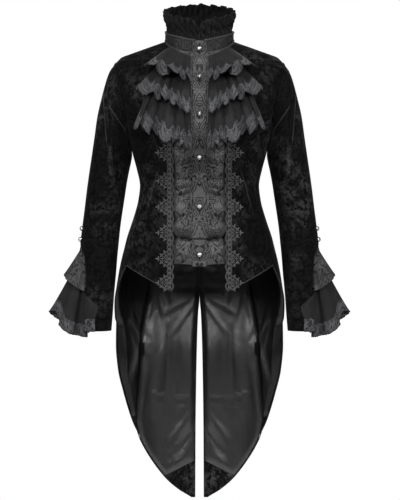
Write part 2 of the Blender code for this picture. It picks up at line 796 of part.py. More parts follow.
def vest_grid():
    """Brocade between the placket and the velvet's edge, ruched into puffs between its creases."""
    across, puff, flat = VEST_ACROSS.rows.T
    part = (across - across[0]) / (across[-1] - across[0])
    last = len(CREASES.rows) - 1
    shown = np.linspace(HIDDEN_CREASES, last, (last - HIDDEN_CREASES) * ROWS_PER_PUFF + 1)
    number = np.concatenate([np.arange(HIDDEN_CREASES), shown])[::-1, None]
    inner, outer = CREASES.at("inner_z", number), CREASES.at("outer_z", number)
    z = inner + (outer - inner) * part - VEST_SAG * np.sin(math.pi * part) * np.sin(number * 1.9) ** 2
    neck = neckline(np.linspace(0, 90, 91))
    z[-1] = np.interp(across, neck[:, 0], neck[:, 2])
    x = np.broadcast_to(across, z.shape)
    full = 0.12 + 0.88 * np.sin(math.pi * (number % 1)) ** 0.7
    calm = np.clip((VEST_RUCHED_FROM - z) / 60, 0.08, 1)
    lift = flat + VEST_PUFF * puff * calm * full
    thick = outward(face, x, z)
    return moved(face(x, z), thick, lift[..., None]), thick


def placket_grid():
    """The button stand: up the centre front and over the collar band."""
    low = np.linspace(PLACKET_BOTTOM, -62, 14)
    z = np.concatenate([low, [-44, -34, PLACKET_TOP]])
    x = np.linspace(-PLACKET_HALF_WIDTH, PLACKET_HALF_WIDTH, 5)
    grid_x, grid_z = np.broadcast_arrays(x, z[:, None])
    grid = face(grid_x, grid_z)
    ring = neckline(np.degrees(np.arcsin(x / NECK_HALF_WIDTH)), grow=1.6)
    grid[..., 1] = np.where(grid_z > -60, np.minimum(ring[:, 1], grid[..., 1]), grid[..., 1])
    grid[-2:, :, 1] = ring[:, 1]
    thick = np.broadcast_to(np.array([0.0, -1.0, 0.0]), grid.shape)
    return moved(grid, thick, PLACKET_LIFT), thick


def collar_band_grid():
    angles = np.linspace(5.0, 355.0, 33)
    seam = neckline(angles, grow=0.4)
    seam[:, 2] += SEAM_GAP
    top = neckline(angles, "band_top", grow=0.4)
    grid = np.stack([seam, top])
    turn = np.radians(angles)
    thick = unit(np.stack([np.sin(turn), -np.cos(turn), np.zeros_like(turn)], axis=-1))
    return grid, np.broadcast_to(thick, grid.shape)


def collar_frill_grid(samples=4):
    """The pleated frill, standing up out of the band's inner face."""
    rows = []
    for up in (0.0, 0.5, 1.0):
        swing = FRILL_SWING[0] + (FRILL_SWING[1] - FRILL_SWING[0]) * up
        along, out = meander(FRILL_WAVES, swing, samples)
        angles = 4.0 + 352.0 * along
        base = neckline(angles, "band_top")
        top = neckline(angles, "frill_top")
        lean = FRILL_LEVELS.at("lean", up) + NECK.at("frill_lean", 180 - np.abs(angles - 180)) * up**2
        pleat = (out - out.max() / 2) * 2 * math.pi * NECK_HALF_WIDTH * 0.92
        depth = lean + pleat - FRILL_INSET * (1 - up)
        turn = np.radians(angles)
        away = np.stack([np.sin(turn), -np.cos(turn), np.zeros_like(turn)], axis=-1)
        root = np.array([0, 0, FRILL_ROOT]) * (1 - up)
        rows.append(base + (top - base) * up - root + depth[:, None] * away)
    return np.stack(rows)


# Jabot and cuffs


def jabot_grid(tier, samples=4):
    """One tier of the jabot: gathered where it is sewn on, fluted at its hem."""
    table = JABOT[tier]
    rows = []
    for down in np.linspace(0, 1, JABOT_ROWS + 1):
        swing = JABOT_SWING[0] + (JABOT_SWING[1] - JABOT_SWING[0]) * down**0.8
        along, out = meander(JABOT_WAVES[tier], swing, samples, JABOT_UNEVEN[tier])
        x = table.at("top_x", along) * (1 - down) + table.at("hem_x", along) * down
        z = table.at("top_z", along) * (1 - down) + table.at("hem_z", along) * down
        length = np.hypot(np.diff(x), np.diff(z)).sum()
        lift = JABOT_LIFT[tier][0] * (1 - down) + JABOT_LIFT[tier][1] * down
        flute = out * length * JABOT_FLUTE
        z = z - JABOT_ZIGZAG * down * np.cos(4 * math.pi * JABOT_WAVES[tier] * np.linspace(0, 1, len(x)))
        thick = outward(face, x, np.minimum(z, -30))
        rows.append(moved(face(x, z), thick, (lift + flute)[:, None]))
    return np.stack(rows[::-1])


def cuff_frill_grid(tier, samples=4):
    """A flared frill in the sleeve's vent, from the vent's front edge out and round to its back edge."""
    table = CUFF_FRILL[tier]
    along, out = meander(CUFF_WAVES[tier], 0.2, samples)
    apex = CUFF_APEX[tier]
    turns = np.interp(along, (0, 1), CUFF_ROOT_TURNS)
    points = sleeve_point(turns, CUFF_ROOT_STEP)
    away = unit((points - sleeve_point(turns + 180, CUFF_ROOT_STEP)) * (1, 1, 0))
    rows = [points - away * (VELVET + CUFF_ROOT_GAP[tier])]
    for down in np.linspace(CUFF_FIRST_ROW[tier], 1, CUFF_ROWS):
        along, out = meander(CUFF_WAVES[tier], 0.2 + CUFF_SWING[tier] * down, samples)
        swing = np.radians(table.at("swing", along))
        reach = table.at("reach", along) * down
        x = apex[0] + reach * np.sin(swing)
        y = apex[1] + (table.at("y", along) - apex[1]) * down
        z = apex[2] - reach * np.cos(swing)
        path = np.stack([x, y, z], axis=-1)
        away = unit(np.cross(np.gradient(path, axis=0), (0, 0, 1.0)) * (1, 1, 0))
        length = np.linalg.norm(np.diff(path, axis=0), axis=1).sum()
        bulge = CUFF_BULGE[tier] * np.sin(math.pi * along) * down
        rows.append(path + away * ((out - out.max() / 2) * length * 0.55 + bulge)[:, None])
    return np.stack(rows[::-1])


# Sleeves


def sleeve_point(turn, step):
    """A point of the sleeve, by the angle round it from the front over the outside, and the ring's number."""
    turn, step = np.broadcast_arrays(np.asarray(turn, float), np.asarray(step, float))
    outer = np.stack([SLEEVE.at("outer_x", step), SLEEVE.at("outer_z", step)], axis=-1)
    inner = np.stack([SLEEVE.at("inner_x", step), SLEEVE.at("inner_z", step)], axis=-1)
    middle, reach = (outer + inner) / 2, (outer - inner) / 2
    sine, cosine = np.sin(np.radians(turn)), np.cos(np.radians(turn))
    ring = middle + reach * sine[..., None]
    y = SLEEVE.at("middle_y", step) - SLEEVE.at("half_depth", step) * cosine
    points = np.stack([ring[..., 0], y, ring[..., 1]], axis=-1)
    rounding = np.clip(1 - step, 0, 1)[..., None]
    return points * (1 - rounding) + armhole(turn)[0] * rounding


def sleeve_grid(turns):
    """A length of sleeve through one row of angles for every ring."""
    rings = np.broadcast_to(np.array(SLEEVE_STEPS, float)[:, None], turns.shape)
    across = sleeve_point(turns + 1, rings) - sleeve_point(turns - 1, rings)
    along = sleeve_point(turns, rings + 0.05) - sleeve_point(turns, np.maximum(rings - 0.05, 0))
    thick = unit(np.cross(across, along))
    middle = sleeve_point(turns, rings) - sleeve_point(turns + 180, rings)
    thick = np.where((thick * middle).sum(-1, keepdims=True) < 0, -thick, thick)
    thick[0] = armhole(turns[0])[1]
    return sleeve_point(turns, rings), unit(thick)


def sleeve_grids():
    """The upper sleeve and the under sleeve, whose first ring shares the armhole's points."""
    steps = np.array(SLEEVE_STEPS, float)[:, None]
    front = SLEEVE_SEAMS.at("front", steps)
    ring = np.unique(np.concatenate(list(ARM_TURNS.values())))
    start, hind, end = SIDE_SEAM_TURN, ARM_TURNS["back"][-2], 360 + SIDE_SEAM_TURN
    upper = (ring[ring <= hind + 0.1] - start) / (hind - start)
    under = (ring[ring >= hind - 0.1] - hind) / (end - hind)
    vent_front, vent_back = SLEEVE_SEAMS.at("vent_front", steps), SLEEVE_SEAMS.at("vent_back", steps)
    vent_back = np.maximum(vent_front, vent_back)
    return {
        "upper_sleeve": sleeve_grid(front + (vent_front - front) * upper),
        "under_sleeve": sleeve_grid(vent_back + (front + 360 - vent_back) * under),
    }


# Trim and buttons


def trim_grid(panel):
    """The lace edging on the velvet: a narrow band whose outer edge runs out into points."""
    edges = [TRIM_TOP, TRIM_TOP - 15, TRIM_TOP - 30, TRIM_BOTTOM]
    for middle in TRIM_POINTS:
        lowest = max(middle - TRIM_POINT_HALF, TRIM_BOTTOM + 5)
        edges += [middle + TRIM_POINT_HALF, middle + TRIM_TIP_HALF, middle, middle - TRIM_TIP_HALF, lowest]
    z = np.array(sorted(set(edges)))
    nearest = np.min(np.abs(z[:, None] - np.array(TRIM_POINTS)), axis=1)
    reach = 0.5 + TRIM_POINT_REACH * np.clip(1 - nearest / TRIM_POINT_HALF, 0, 1) ** 1.2
    x = TRIM_INNER_X + np.stack([0 * z, 0 * z + TRIM_BAND, TRIM_BAND + reach], axis=-1)
    z = np.broadcast_to(z[:, None], x.shape)
    thick = outward(face, x, z)
    lift = np.full(x.shape, LAYER_GAP + GUIPURE)
    lift[:, -1] += TRIM_TIP_LIFT * reach / TRIM_POINT_REACH
    return moved(on_panel(panel, x, z), thick, lift[..., None]), thick


def add_button(name, place, direction, radius, finish, collection):
    """A domed metal button turned on its shank, which starts just clear of the cloth."""
    ring = bmesh.new()
    turned = []
    for _, across, up in BUTTON_PROFILE.rows:
        turned.append(ring.verts.new((across * radius * MM, 0, max(up * radius, SEAM_GAP) * MM)))
    for a, b in zip(turned, turned[1:]):
        ring.edges.new((a, b))
    mesh = bpy.data.meshes.new(name)
    bmesh.ops.spin(
        ring,
        geom=ring.verts[:] + ring.edges[:],
        cent=(0, 0, 0),
        axis=(0, 0, 1),
        angle=math.tau,
        steps=8,
        use_duplicate=False,
    )
    bmesh.ops.remove_doubles(ring, verts=ring.verts[:], dist=0.00002)
    holes = [e for e in ring.edges if len(e.link_faces) == 1]
    bmesh.ops.holes_fill(ring, edges=holes, sides=0)
    bmesh.ops.recalc_face_normals(ring, faces=ring.faces[:])
    ring.to_mesh(mesh)
    ring.free()
    made = new_object(name, mesh, finish, collection)
    made.location = Vector(place) * MM
    made.rotation_euler = Vector(direction).to_track_quat("Z", "Y").to_euler()
    return made


# Putting the coat together


def build_body(side, sign, finishes, coat):
    panels = {
        "front": front_grid(),
        "side_front": side_front_grid(),
        "back": back_grid(),
        "side_back": side_back_grid(),
        **sleeve_grids(),
    }
    for name, (grid, thick) in panels.items():
        cloth_wall(f"{name}_{side}", trimmed(grid), thick, VELVET, finishes["velvet"], coat, sign)
    count = TAIL_ROWS + LINING_ROWS_ABOVE_VENT
    grid, thick = lining_of(*panels["back"], FACING_ROWS, count + 2)
    turned = np.where(np.arange(count + 2) < 2, TURN_BACK, SEAM_GAP / 2)
    grid = trimmed(grid, left=TURN_BACK, right=turned)
    cloth_wall(f"lining_{side}", grid, thick, SATIN, finishes["satin"], coat, sign)
    grid, thick = lining_of(*panels["side_back"], 1, count - 1)
    turned = np.where(np.arange(count - 1) < TAIL_ROWS - 1, TURN_BACK, SEAM_GAP / 2)
    grid = trimmed(grid, right=turned)
    cloth_wall(f"side_lining_{side}", grid, thick, SATIN, finishes["satin"], coat, sign)
    grid, thick = vest_grid()
    cloth_wall(f"vest_{side}", trimmed(grid), thick, BROCADE, finishes["brocade"], coat, sign)
    grid, thick = trim_grid(panels["front"][0])
    cloth_wall(f"lace_trim_{side}", grid, thick, GUIPURE, finishes["guipure"], coat, sign)


def build_frills(side, sign, finishes, coat):
    for tier in JABOT:
        frilled_sheet(f"jabot_{tier}_{side}", jabot_grid(tier), CHIFFON, finishes["chiffon"], coat, sign)
    for tier in CUFF_FRILL:
        cloth = finishes["brocade" if tier == "upper" else "chiffon"]
        frilled_sheet(f"cuff_frill_{tier}_{side}", cuff_frill_grid(tier), CHIFFON, cloth, coat, sign)


def build_collar(finishes, coat):
    grid, thick = placket_grid()
    cloth_wall("placket", grid, thick, BROCADE, finishes["brocade"], coat)
    grid, thick = collar_band_grid()
    cloth_wall("collar_band", grid, thick, BROCADE, finishes["brocade"], coat)
    frilled_sheet("collar_frill", collar_frill_grid(), CHIFFON, finishes["chiffon"], coat)


def build_buttons(finishes, coat):
    stand = placket_grid()[0]
    for number, z in enumerate(FRONT_BUTTONS, 1):
        place, above, below = on_panel(stand, 0.0, np.array([z, z + 4.0, z - 4.0]))
        direction = unit(np.cross(above - below, (1.0, 0, 0)))
        direction = direction * np.sign(-direction[1])
        add_button(f"button_{number}", place, direction, BUTTON_RADIUS, finishes["metal"], coat)
    for side, sign in SIDES.items():
        for number, z in enumerate(CUFF_BUTTONS, 1):
            step = float(np.interp(-z, -SLEEVE.rows[:, 2], SLEEVE.rows[:, 0]))
            place = sleeve_point(CUFF_BUTTON_TURN, step)
            centre = (place + sleeve_point(CUFF_BUTTON_TURN + 180, step)) / 2
            direction = unit(place - centre)
            flip = np.array([sign, 1, 1])
            name = f"cuff_button_{side}_{number}"
            add_button(name, place * flip, direction * flip, CUFF_BUTTON_RADIUS, finishes["metal"], coat)


def main():
    for old in list(bpy.data.objects):
        bpy.data.objects.remove(old)
    coat = bpy.data.collections.new("tailcoat")
    bpy.context.scene.collection.children.link(coat)
    finishes = {
        "velvet": material("black_velvet", (0.012, 0.012, 0.013), 0.95),
        "satin": material("black_satin", (0.03, 0.03, 0.032), 0.3),
        "brocade": material("charcoal_brocade", (0.07, 0.07, 0.075), 0.6),
        "chiffon": material("charcoal_chiffon", (0.05, 0.05, 0.053), 0.8),
        "guipure": material("charcoal_lace", (0.09, 0.09, 0.095), 0.8),
        "metal": material("nickel", (0.75, 0.75, 0.74), 0.25, metallic=1.0),
    }
    for side, sign in SIDES.items():
        build_body(side, sign, finishes, coat)
        build_frills(side, sign, finishes, coat)
    build_collar(finishes, coat)
    build_buttons(finishes, coat)


main()
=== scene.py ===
import json
import math

import bmesh
import bpy
import numpy as np
from mathutils import Matrix, Vector
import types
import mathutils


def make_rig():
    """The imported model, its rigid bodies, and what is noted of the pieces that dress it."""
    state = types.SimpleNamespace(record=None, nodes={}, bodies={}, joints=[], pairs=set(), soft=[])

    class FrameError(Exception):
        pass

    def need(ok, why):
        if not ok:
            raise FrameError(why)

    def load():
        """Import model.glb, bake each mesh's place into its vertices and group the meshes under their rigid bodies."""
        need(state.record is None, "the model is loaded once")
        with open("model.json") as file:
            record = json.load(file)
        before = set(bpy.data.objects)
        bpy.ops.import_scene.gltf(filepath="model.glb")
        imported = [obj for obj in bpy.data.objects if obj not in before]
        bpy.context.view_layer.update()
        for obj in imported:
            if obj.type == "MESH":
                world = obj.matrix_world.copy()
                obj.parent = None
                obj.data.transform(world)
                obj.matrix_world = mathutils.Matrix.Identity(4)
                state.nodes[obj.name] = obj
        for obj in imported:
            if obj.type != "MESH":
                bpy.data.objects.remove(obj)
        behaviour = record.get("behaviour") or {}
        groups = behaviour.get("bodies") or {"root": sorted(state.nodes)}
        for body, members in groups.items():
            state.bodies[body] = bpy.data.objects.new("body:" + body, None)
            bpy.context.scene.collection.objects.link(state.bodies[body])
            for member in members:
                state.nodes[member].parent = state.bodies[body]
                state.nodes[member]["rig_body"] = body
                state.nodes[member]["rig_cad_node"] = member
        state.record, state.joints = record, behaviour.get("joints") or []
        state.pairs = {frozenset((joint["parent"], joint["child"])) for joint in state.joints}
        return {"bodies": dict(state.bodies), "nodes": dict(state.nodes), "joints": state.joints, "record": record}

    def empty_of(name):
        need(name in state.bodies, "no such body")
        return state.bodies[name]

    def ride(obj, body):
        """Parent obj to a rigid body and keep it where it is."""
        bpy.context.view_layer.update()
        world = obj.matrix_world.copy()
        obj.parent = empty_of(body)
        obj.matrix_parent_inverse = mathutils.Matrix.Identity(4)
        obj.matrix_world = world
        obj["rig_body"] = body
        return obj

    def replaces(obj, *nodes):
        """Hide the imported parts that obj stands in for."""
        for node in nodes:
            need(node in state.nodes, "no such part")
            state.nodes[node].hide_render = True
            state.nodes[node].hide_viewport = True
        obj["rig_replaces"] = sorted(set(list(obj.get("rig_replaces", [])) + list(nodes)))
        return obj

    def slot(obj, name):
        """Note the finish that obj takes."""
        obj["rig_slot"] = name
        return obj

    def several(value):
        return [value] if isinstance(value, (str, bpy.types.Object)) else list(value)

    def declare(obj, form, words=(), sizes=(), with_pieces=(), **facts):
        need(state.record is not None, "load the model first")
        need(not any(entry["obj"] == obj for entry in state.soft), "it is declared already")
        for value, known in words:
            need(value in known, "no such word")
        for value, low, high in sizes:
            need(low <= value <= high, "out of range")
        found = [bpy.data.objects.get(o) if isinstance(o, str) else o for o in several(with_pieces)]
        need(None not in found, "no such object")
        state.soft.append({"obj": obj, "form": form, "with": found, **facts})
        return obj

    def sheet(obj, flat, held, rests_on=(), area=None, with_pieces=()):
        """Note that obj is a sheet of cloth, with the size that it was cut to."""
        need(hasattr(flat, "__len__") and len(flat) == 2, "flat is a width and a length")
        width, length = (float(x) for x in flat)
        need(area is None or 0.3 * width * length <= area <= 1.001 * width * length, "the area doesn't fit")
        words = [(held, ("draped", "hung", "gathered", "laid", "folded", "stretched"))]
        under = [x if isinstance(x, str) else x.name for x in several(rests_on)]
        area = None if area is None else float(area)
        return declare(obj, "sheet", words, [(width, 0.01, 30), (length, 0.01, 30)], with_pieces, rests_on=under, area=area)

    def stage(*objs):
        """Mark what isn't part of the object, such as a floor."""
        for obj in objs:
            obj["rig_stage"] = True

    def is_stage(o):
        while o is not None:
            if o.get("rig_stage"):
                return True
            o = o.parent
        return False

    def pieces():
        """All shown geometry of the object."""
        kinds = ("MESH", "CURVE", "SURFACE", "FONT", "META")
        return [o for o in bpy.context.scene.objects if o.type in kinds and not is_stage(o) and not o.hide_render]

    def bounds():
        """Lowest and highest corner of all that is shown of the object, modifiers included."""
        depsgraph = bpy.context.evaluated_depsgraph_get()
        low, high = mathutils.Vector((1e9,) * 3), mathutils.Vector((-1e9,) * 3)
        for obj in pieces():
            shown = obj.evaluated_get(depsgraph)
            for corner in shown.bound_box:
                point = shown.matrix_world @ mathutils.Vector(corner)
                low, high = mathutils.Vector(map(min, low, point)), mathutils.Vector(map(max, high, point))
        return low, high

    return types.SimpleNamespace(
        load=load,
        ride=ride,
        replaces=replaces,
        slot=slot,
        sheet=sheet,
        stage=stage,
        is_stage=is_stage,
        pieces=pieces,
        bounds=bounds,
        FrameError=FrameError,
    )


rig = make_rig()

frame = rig.load()
cad_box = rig.bounds()
bpy.ops.object.select_all(action="DESELECT")

# Camera, floor and studio light.
# The coat hangs as worn over a pale floor, its shoulders 1.5 m up, seen level from in front.
# Soft boxes stand at both sides, above, high in front and behind. The surround shows white but lights
# dimly, so that the black cloth keeps its folds, and the shades are printed a little dark.

CAMERA_PLACE = (0.00115, -3.5, -0.4784)
CAMERA_LENS = 109.6
FLOOR_Z = -1.5
SURROUND_SHOWN = 1.0
SURROUND_LIGHT = 0.07
FLOOR_RADIUS = 1.3
FLOOR_SHADE = (0.85, 0.85, 0.85, 1)
PRINT_GAMMA = 0.87

camera_data = bpy.data.cameras.new("camera")
camera_data.lens = CAMERA_LENS
camera = bpy.data.objects.new("camera", camera_data)
camera.location = CAMERA_PLACE
camera.rotation_euler = (math.pi / 2, 0, 0)
bpy.context.scene.collection.objects.link(camera)
bpy.context.scene.camera = camera
bpy.context.scene.view_settings.view_transform = "Standard"
bpy.context.scene.view_settings.gamma = PRINT_GAMMA

surround = bpy.data.worlds.new("surround")
surround.use_nodes = True
ray = surround.node_tree.nodes.new("ShaderNodeLightPath")
strength = surround.node_tree.nodes.new("ShaderNodeMapRange")
strength.inputs["To Min"].default_value = SURROUND_LIGHT
strength.inputs["To Max"].default_value = SURROUND_SHOWN
surround.node_tree.links.new(ray.outputs["Is Camera Ray"], strength.inputs["Value"])
background = surround.node_tree.nodes["Background"]
background.inputs["Color"].default_value = (1, 1, 1, 1)
surround.node_tree.links.new(strength.outputs["Result"], background.inputs["Strength"])
bpy.context.scene.world = surround

bpy.ops.mesh.primitive_circle_add(vertices=96, radius=FLOOR_RADIUS, fill_type="NGON")
floor = bpy.context.object
floor.location = (0, 0, FLOOR_Z)
floor.name = "floor"
floor_paint = bpy.data.materials.new("floor_paint")
floor_paint.use_nodes = True
floor_shader = floor_paint.node_tree.nodes["Principled BSDF"]
floor_shader.inputs["Base Color"].default_value = FLOOR_SHADE
floor_shader.inputs["Roughness"].default_value = 0.9
floor.data.materials.append(floor_paint)
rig.stage(floor)

LIGHTS = {
    "left_box": dict(place=(-2.6, -1.7, 0.7), size=(0.6, 1.5), power=52),
    "right_box": dict(place=(2.6, -1.7, 0.7), size=(0.6, 1.5), power=52),
    "top_box": dict(place=(0, -1.7, 2.3), size=(1.2, 0.8), power=56),
    "front_box": dict(place=(0, -3.6, 0.85), size=(1.3, 0.6), power=66),
    "back_box": dict(place=(0, 3.0, 1.2), size=(2.6, 1.6), power=85),
}
COAT_MIDDLE = Vector((0, 0, -0.45))
for light_name, light_row in LIGHTS.items():
    box_light = bpy.data.lights.new(light_name, "AREA")
    box_light.shape = "RECTANGLE"
    box_light.size, box_light.size_y = light_row["size"]
    box_light.energy = light_row["power"]
    lamp = bpy.data.objects.new(light_name, box_light)
    lamp.location = light_row["place"]
    lamp.rotation_euler = (COAT_MIDDLE - lamp.location).to_track_quat("-Z", "Y").to_euler()
    bpy.context.scene.collection.objects.link(lamp)


# Velvet body: a centre back and side back that run down into each tail, a front and a side front.
# Black cotton velvet with a tone-on-tone flower nap, cut in long panels, sewn at the princess and side
# seams and pressed; soft creases fan from the bust, the waist and the armholes.

MM = 0.001
SIDES = {"left": 1, "right": -1}
VELVET = 1.5
SEAM_GAP = 0.3
FINE = 5

NECK_HALF_WIDTH = 78.0
NECK_HALF_DEPTH = 66.0
SHOULDER_POINT = (197.0, -40.4)
NECK_POINT_Z = 2.0
BUST_Z = -200.0
BLADE_Z = -150.0
FRONT_NECK_RISE = 20.0
BACK_NECK_RISE = 56.0

ARMHOLE_Z = -128.0
ARMHOLE_HALF_HEIGHT = 87.0
ARMHOLE_FRONT = 58.0
ARMHOLE_BACK = 62.0
ARMHOLE_LEAN = 0.45
FRONT_PRINCESS_TURN = -8.0
BACK_PRINCESS_TURN = 174.0
SIDE_SEAM_TURN = -55.0
SLEEVE_SEAM_TURN = 153.0

VELVET_EDGE_X = 60.0
STRAIGHT_EDGE_TOP = -160.0
FRONT_COLUMNS = (0, 0.13, 0.3, 0.5, 0.72, 1.0)
VENT_TOP = -569.0
TAIL_SEAM_BOTTOM = -912.0
SIDE_HEM = -512.0

SEAM_ALLOWANCE = 5.0
SHOULDER_EASE = 7.0
SHOULDER_EASE_ACROSS = 11
SHOULDER_EASE_UP = 26
ARMPIT_Z = -232.0
ARMPIT_HALF_HEIGHT = 32
ARMPIT_SWELL = 3.2
ARMPIT_WIDTH = 26
END_TAPER = 0.75
END_TAPER_LENGTH = 14.0
SHARP_ANGLE = 60
# How far the pattern is shifted across each panel, so that it doesn't match at the seams
CUT_FROM = {"front": 155, "side_front": 310, "back": 124, "side_back": 279}

BODY_ROWS = np.linspace(0, 1, 13 * FINE + 1)
TAIL_ROWS = 9 * FINE + 1
ARM_TURNS = {
    "side_front": np.linspace(SIDE_SEAM_TURN, FRONT_PRINCESS_TURN, 3 * FINE + 1),
    "front": np.linspace(FRONT_PRINCESS_TURN, 90, 5 * FINE + 1),
    "back": np.linspace(90, BACK_PRINCESS_TURN, 4 * FINE + 1),
    "side_back": np.linspace(BACK_PRINCESS_TURN, 360 + SIDE_SEAM_TURN, 6 * FINE + 1),
}


class Table:
    """Rows of sizes with named columns, read as smooth curves along the first column."""

    def __init__(self, columns, rows):
        self.columns = columns.split()
        self.rows = np.array(sorted(rows), float)

    def at(self, column, key):
        keys = self.rows[:, 0]
        values = self.rows[:, self.columns.index(column)]
        steps = np.diff(keys)
        rates = np.diff(values) / steps
        slopes = np.concatenate([rates[:1], np.zeros(len(keys) - 2), rates[-1:]])
        before, after = rates[:-1], rates[1:]
        same_way = before * after > 0
        slopes[1:-1][same_way] = 2 * before[same_way] * after[same_way] / (before + after)[same_way]
        key = np.clip(np.asarray(key, float), keys[0], keys[-1])
        i = np.clip(np.searchsorted(keys, key) - 1, 0, len(steps) - 1)
        t = (key - keys[i]) / steps[i]
        start = (1 + 2 * t) * (1 - t) ** 2 * values[i] + t * (1 - t) ** 2 * steps[i] * slopes[i]
        end = t * t * (3 - 2 * t) * values[i + 1] - t * t * (1 - t) * steps[i] * slopes[i + 1]
        return start + end


# The body's section at each height
TORSO = Table(
    "z half_width front back front_power back_power",
    [
        (10, 214, 132, 104, 2.5, 2.5),
        (-41, 212, 132, 104, 2.5, 2.5),
        (-85, 201, 132, 104, 2.5, 2.5),
        (-122, 190, 132, 104, 2.5, 2.5),
        (-150, 183, 132, 104, 2.5, 2.4),
        (-176, 176, 132, 104, 2.6, 2.4),
        (-200, 168, 132, 103, 2.6, 2.4),
        (-215, 163, 131, 102, 2.6, 2.4),
        (-260, 153, 121, 96, 2.5, 2.3),
        (-290, 145, 108, 89, 2.4, 2.2),
        (-331, 137, 98, 84, 2.2, 2.2),
        (-366, 141, 97, 86, 2.2, 2.2),
        (-393, 148, 99, 92, 2.2, 2.2),
        (-421, 157, 103, 100, 2.2, 2.2),
        (-448, 166, 106, 108, 2.2, 2.2),
        (-476, 173, 109, 114, 2.2, 2.2),
        (-504, 180, 111, 119, 2.2, 2.2),
        (-540, 187, 113, 123, 2.2, 2.2),
        (-600, 195, 114, 126, 2.2, 2.2),
        (-643, 197, 114, 127, 2.2, 2.2),
        (-698, 199, 114, 128, 2.2, 2.2),
        (-755, 199, 114, 130, 2.2, 2.2),
        (-812, 197, 114, 130, 2.2, 2.2),
        (-870, 193, 114, 130, 2.2, 2.2),
        (-929, 187, 114, 130, 2.2, 2.2),
        (-1066, 180, 114, 128, 2.2, 2.2),
    ],
)
# The neckline by the angle round the neck from the centre front
NECK = Table(
    "angle seam_z band_top frill_top frill_lean",
    [
        (0, -35, -5, 26, 6),
        (12, -34, -3, 42, 5),
        (30, -30, 3, 48, 5),
        (60, -15, 13, 58, 6),
        (90, 2, 23, 72, 6),
        (120, 8, 31, 86, 4),
        (150, 10, 36, 97, 1),
        (180, 11, 38, 103, -2),
    ],
)
ARMHOLE = Table("z x", [(-215, 163), (-176, 166), (-122, 176), (-85, 186), (-58, 193.5), (-41, 197)])
FRONT_PRINCESS = Table(
    "z x",
    [
        (-140, 172),
        (-165, 148),
        (-200, 119),
        (-240, 103),
        (-306, 101),
        (-331, 106),
        (-382, 121),
        (-450, 137),
        (-540, 144),
    ],
)
BACK_PRINCESS = Table(
    "z x",
    [
        (-119, 176),
        (-150, 146),
        (-190, 118),
        (-260, 94),
        (-331, 78),
        (-400, 84),
        (-480, 100),
        (-578, 122),
        (-655, 139),
        (-720, 149),
        (-800, 152),
        (-860, 151),
        (-912, 143.5),
    ],
)
SIDE_SEAM = Table(
    "z angle",
    [
        (-199, 80),
        (-260, 77),
        (-331, 73),
        (-420, 69),
        (-512, 65),
        (-535, 71),
        (-560, 79),
        (-600, 91),
        (-643, 100),
    ],
)
FRONT_HEM = Table("x z", [(60, -571), (111, -545), (144, -526), (165, -512)])
TAIL_OUTLINE = Table(
    "z x",
    [
        (-643, 192.5),
        (-698, 193.4),
        (-755, 189.3),
        (-812, 177),
        (-870, 160.5),
        (-929, 138),
        (-973, 114.8),
        (-1018, 82),
        (-1047, 48.8),
        (-1062, 25),
        (-1066, 19),
    ],
)
TAIL_TIP = Table(
    "row outer_z inner_z",
    [
        (0, -1066, -1066),
        (1, -1062, -1052),
        (2, -1050, -1030),
        (3, -1033, -1004),
        (4, -1015, -979),
        (5, -972, -946),
        (6, TAIL_SEAM_BOTTOM, -903),
    ],
)
TAIL_FOLDS = Table("kind depth width lean start", [(0, 4.5, 21, 1 / 260, 0.8), (1, 1.5, 11, -1 / 90, 0)])
TAIL_FOLDS_FROM_Z = -600.0
TAIL_FOLDS_FROM_Y = 30.0
VENT = Table("z x", [(-569, 0.2), (-600, 1.5), (-625, 4), (-700, 7), (-800, 9), (-900, 10.3), (-1066, 11)])


def shoulder_line(x, rise):
    """Height of the shoulder seam over a place x; over the neck's hole it rises in a dome."""
    x = np.abs(x)
    slope = (NECK_POINT_Z - SHOULDER_POINT[1]) / (SHOULDER_POINT[0] - NECK_HALF_WIDTH)
    dome = rise * (1 - np.minimum(x / NECK_HALF_WIDTH, 1) ** 2)
    return NECK_POINT_Z - slope * np.maximum(x - NECK_HALF_WIDTH, 0) + dome


def shoulder_fall(x, z, start, rise):
    """The share of the chest's depth that is left at a height, from 1 at start to 0 on the shoulder."""
    t = np.clip((z - start) / (shoulder_line(x, rise) - start), 0, 0.9995)
    return (1 - t * t) ** 0.75


def half_depth(x, z, back):
    side = "back" if back else "front"
    power = TORSO.at(side + "_power", z)
    share = np.minimum(np.abs(x) / TORSO.at("half_width", z), 1)
    depth = TORSO.at(side, z) * (1 - share**power) ** (1 / power)
    if back:
        return depth * shoulder_fall(x, z, BLADE_Z, BACK_NECK_RISE)
    return depth * shoulder_fall(x, z, BUST_Z, FRONT_NECK_RISE)


def face(x, z, back=False):
    """A point of the front or back, by its place x across and its height."""
    x, z = np.broadcast_arrays(np.asarray(x, float), np.asarray(z, float))
    depth = half_depth(x, z, back)
    edge = ARMHOLE.at("x", z)
    turn = np.clip((z - ARMHOLE_Z) / ARMHOLE_HALF_HEIGHT, -1, 1)
    wanted = (ARMHOLE_BACK if back else ARMHOLE_FRONT) * np.sqrt(1 - turn**2)
    ease = np.clip((z + 200) / 55, 0, 1)
    ease = ease * ease * (3 - 2 * ease)
    depth = depth + (wanted - half_depth(edge, z, back)) * ease * np.minimum(np.abs(x) / edge, 1) ** 4
    return np.stack([x, depth if back else -depth, z], axis=-1)


def back_face(x, z):
    return face(x, z, back=True)


def around(angle, z):
    """A point of the side, by its angle round the body from the centre front."""
    angle, z = np.broadcast_arrays(np.radians(angle), np.asarray(z, float))
    width = TORSO.at("half_width", z)
    front = np.cos(angle) > 0
    power = np.where(front, TORSO.at("front_power", z), TORSO.at("back_power", z))
    depth = np.where(front, -TORSO.at("front", z), TORSO.at("back", z))
    x = width * np.abs(np.sin(angle)) ** (2 / power)
    return np.stack([x, depth * np.abs(np.cos(angle)) ** (2 / power), z], axis=-1)


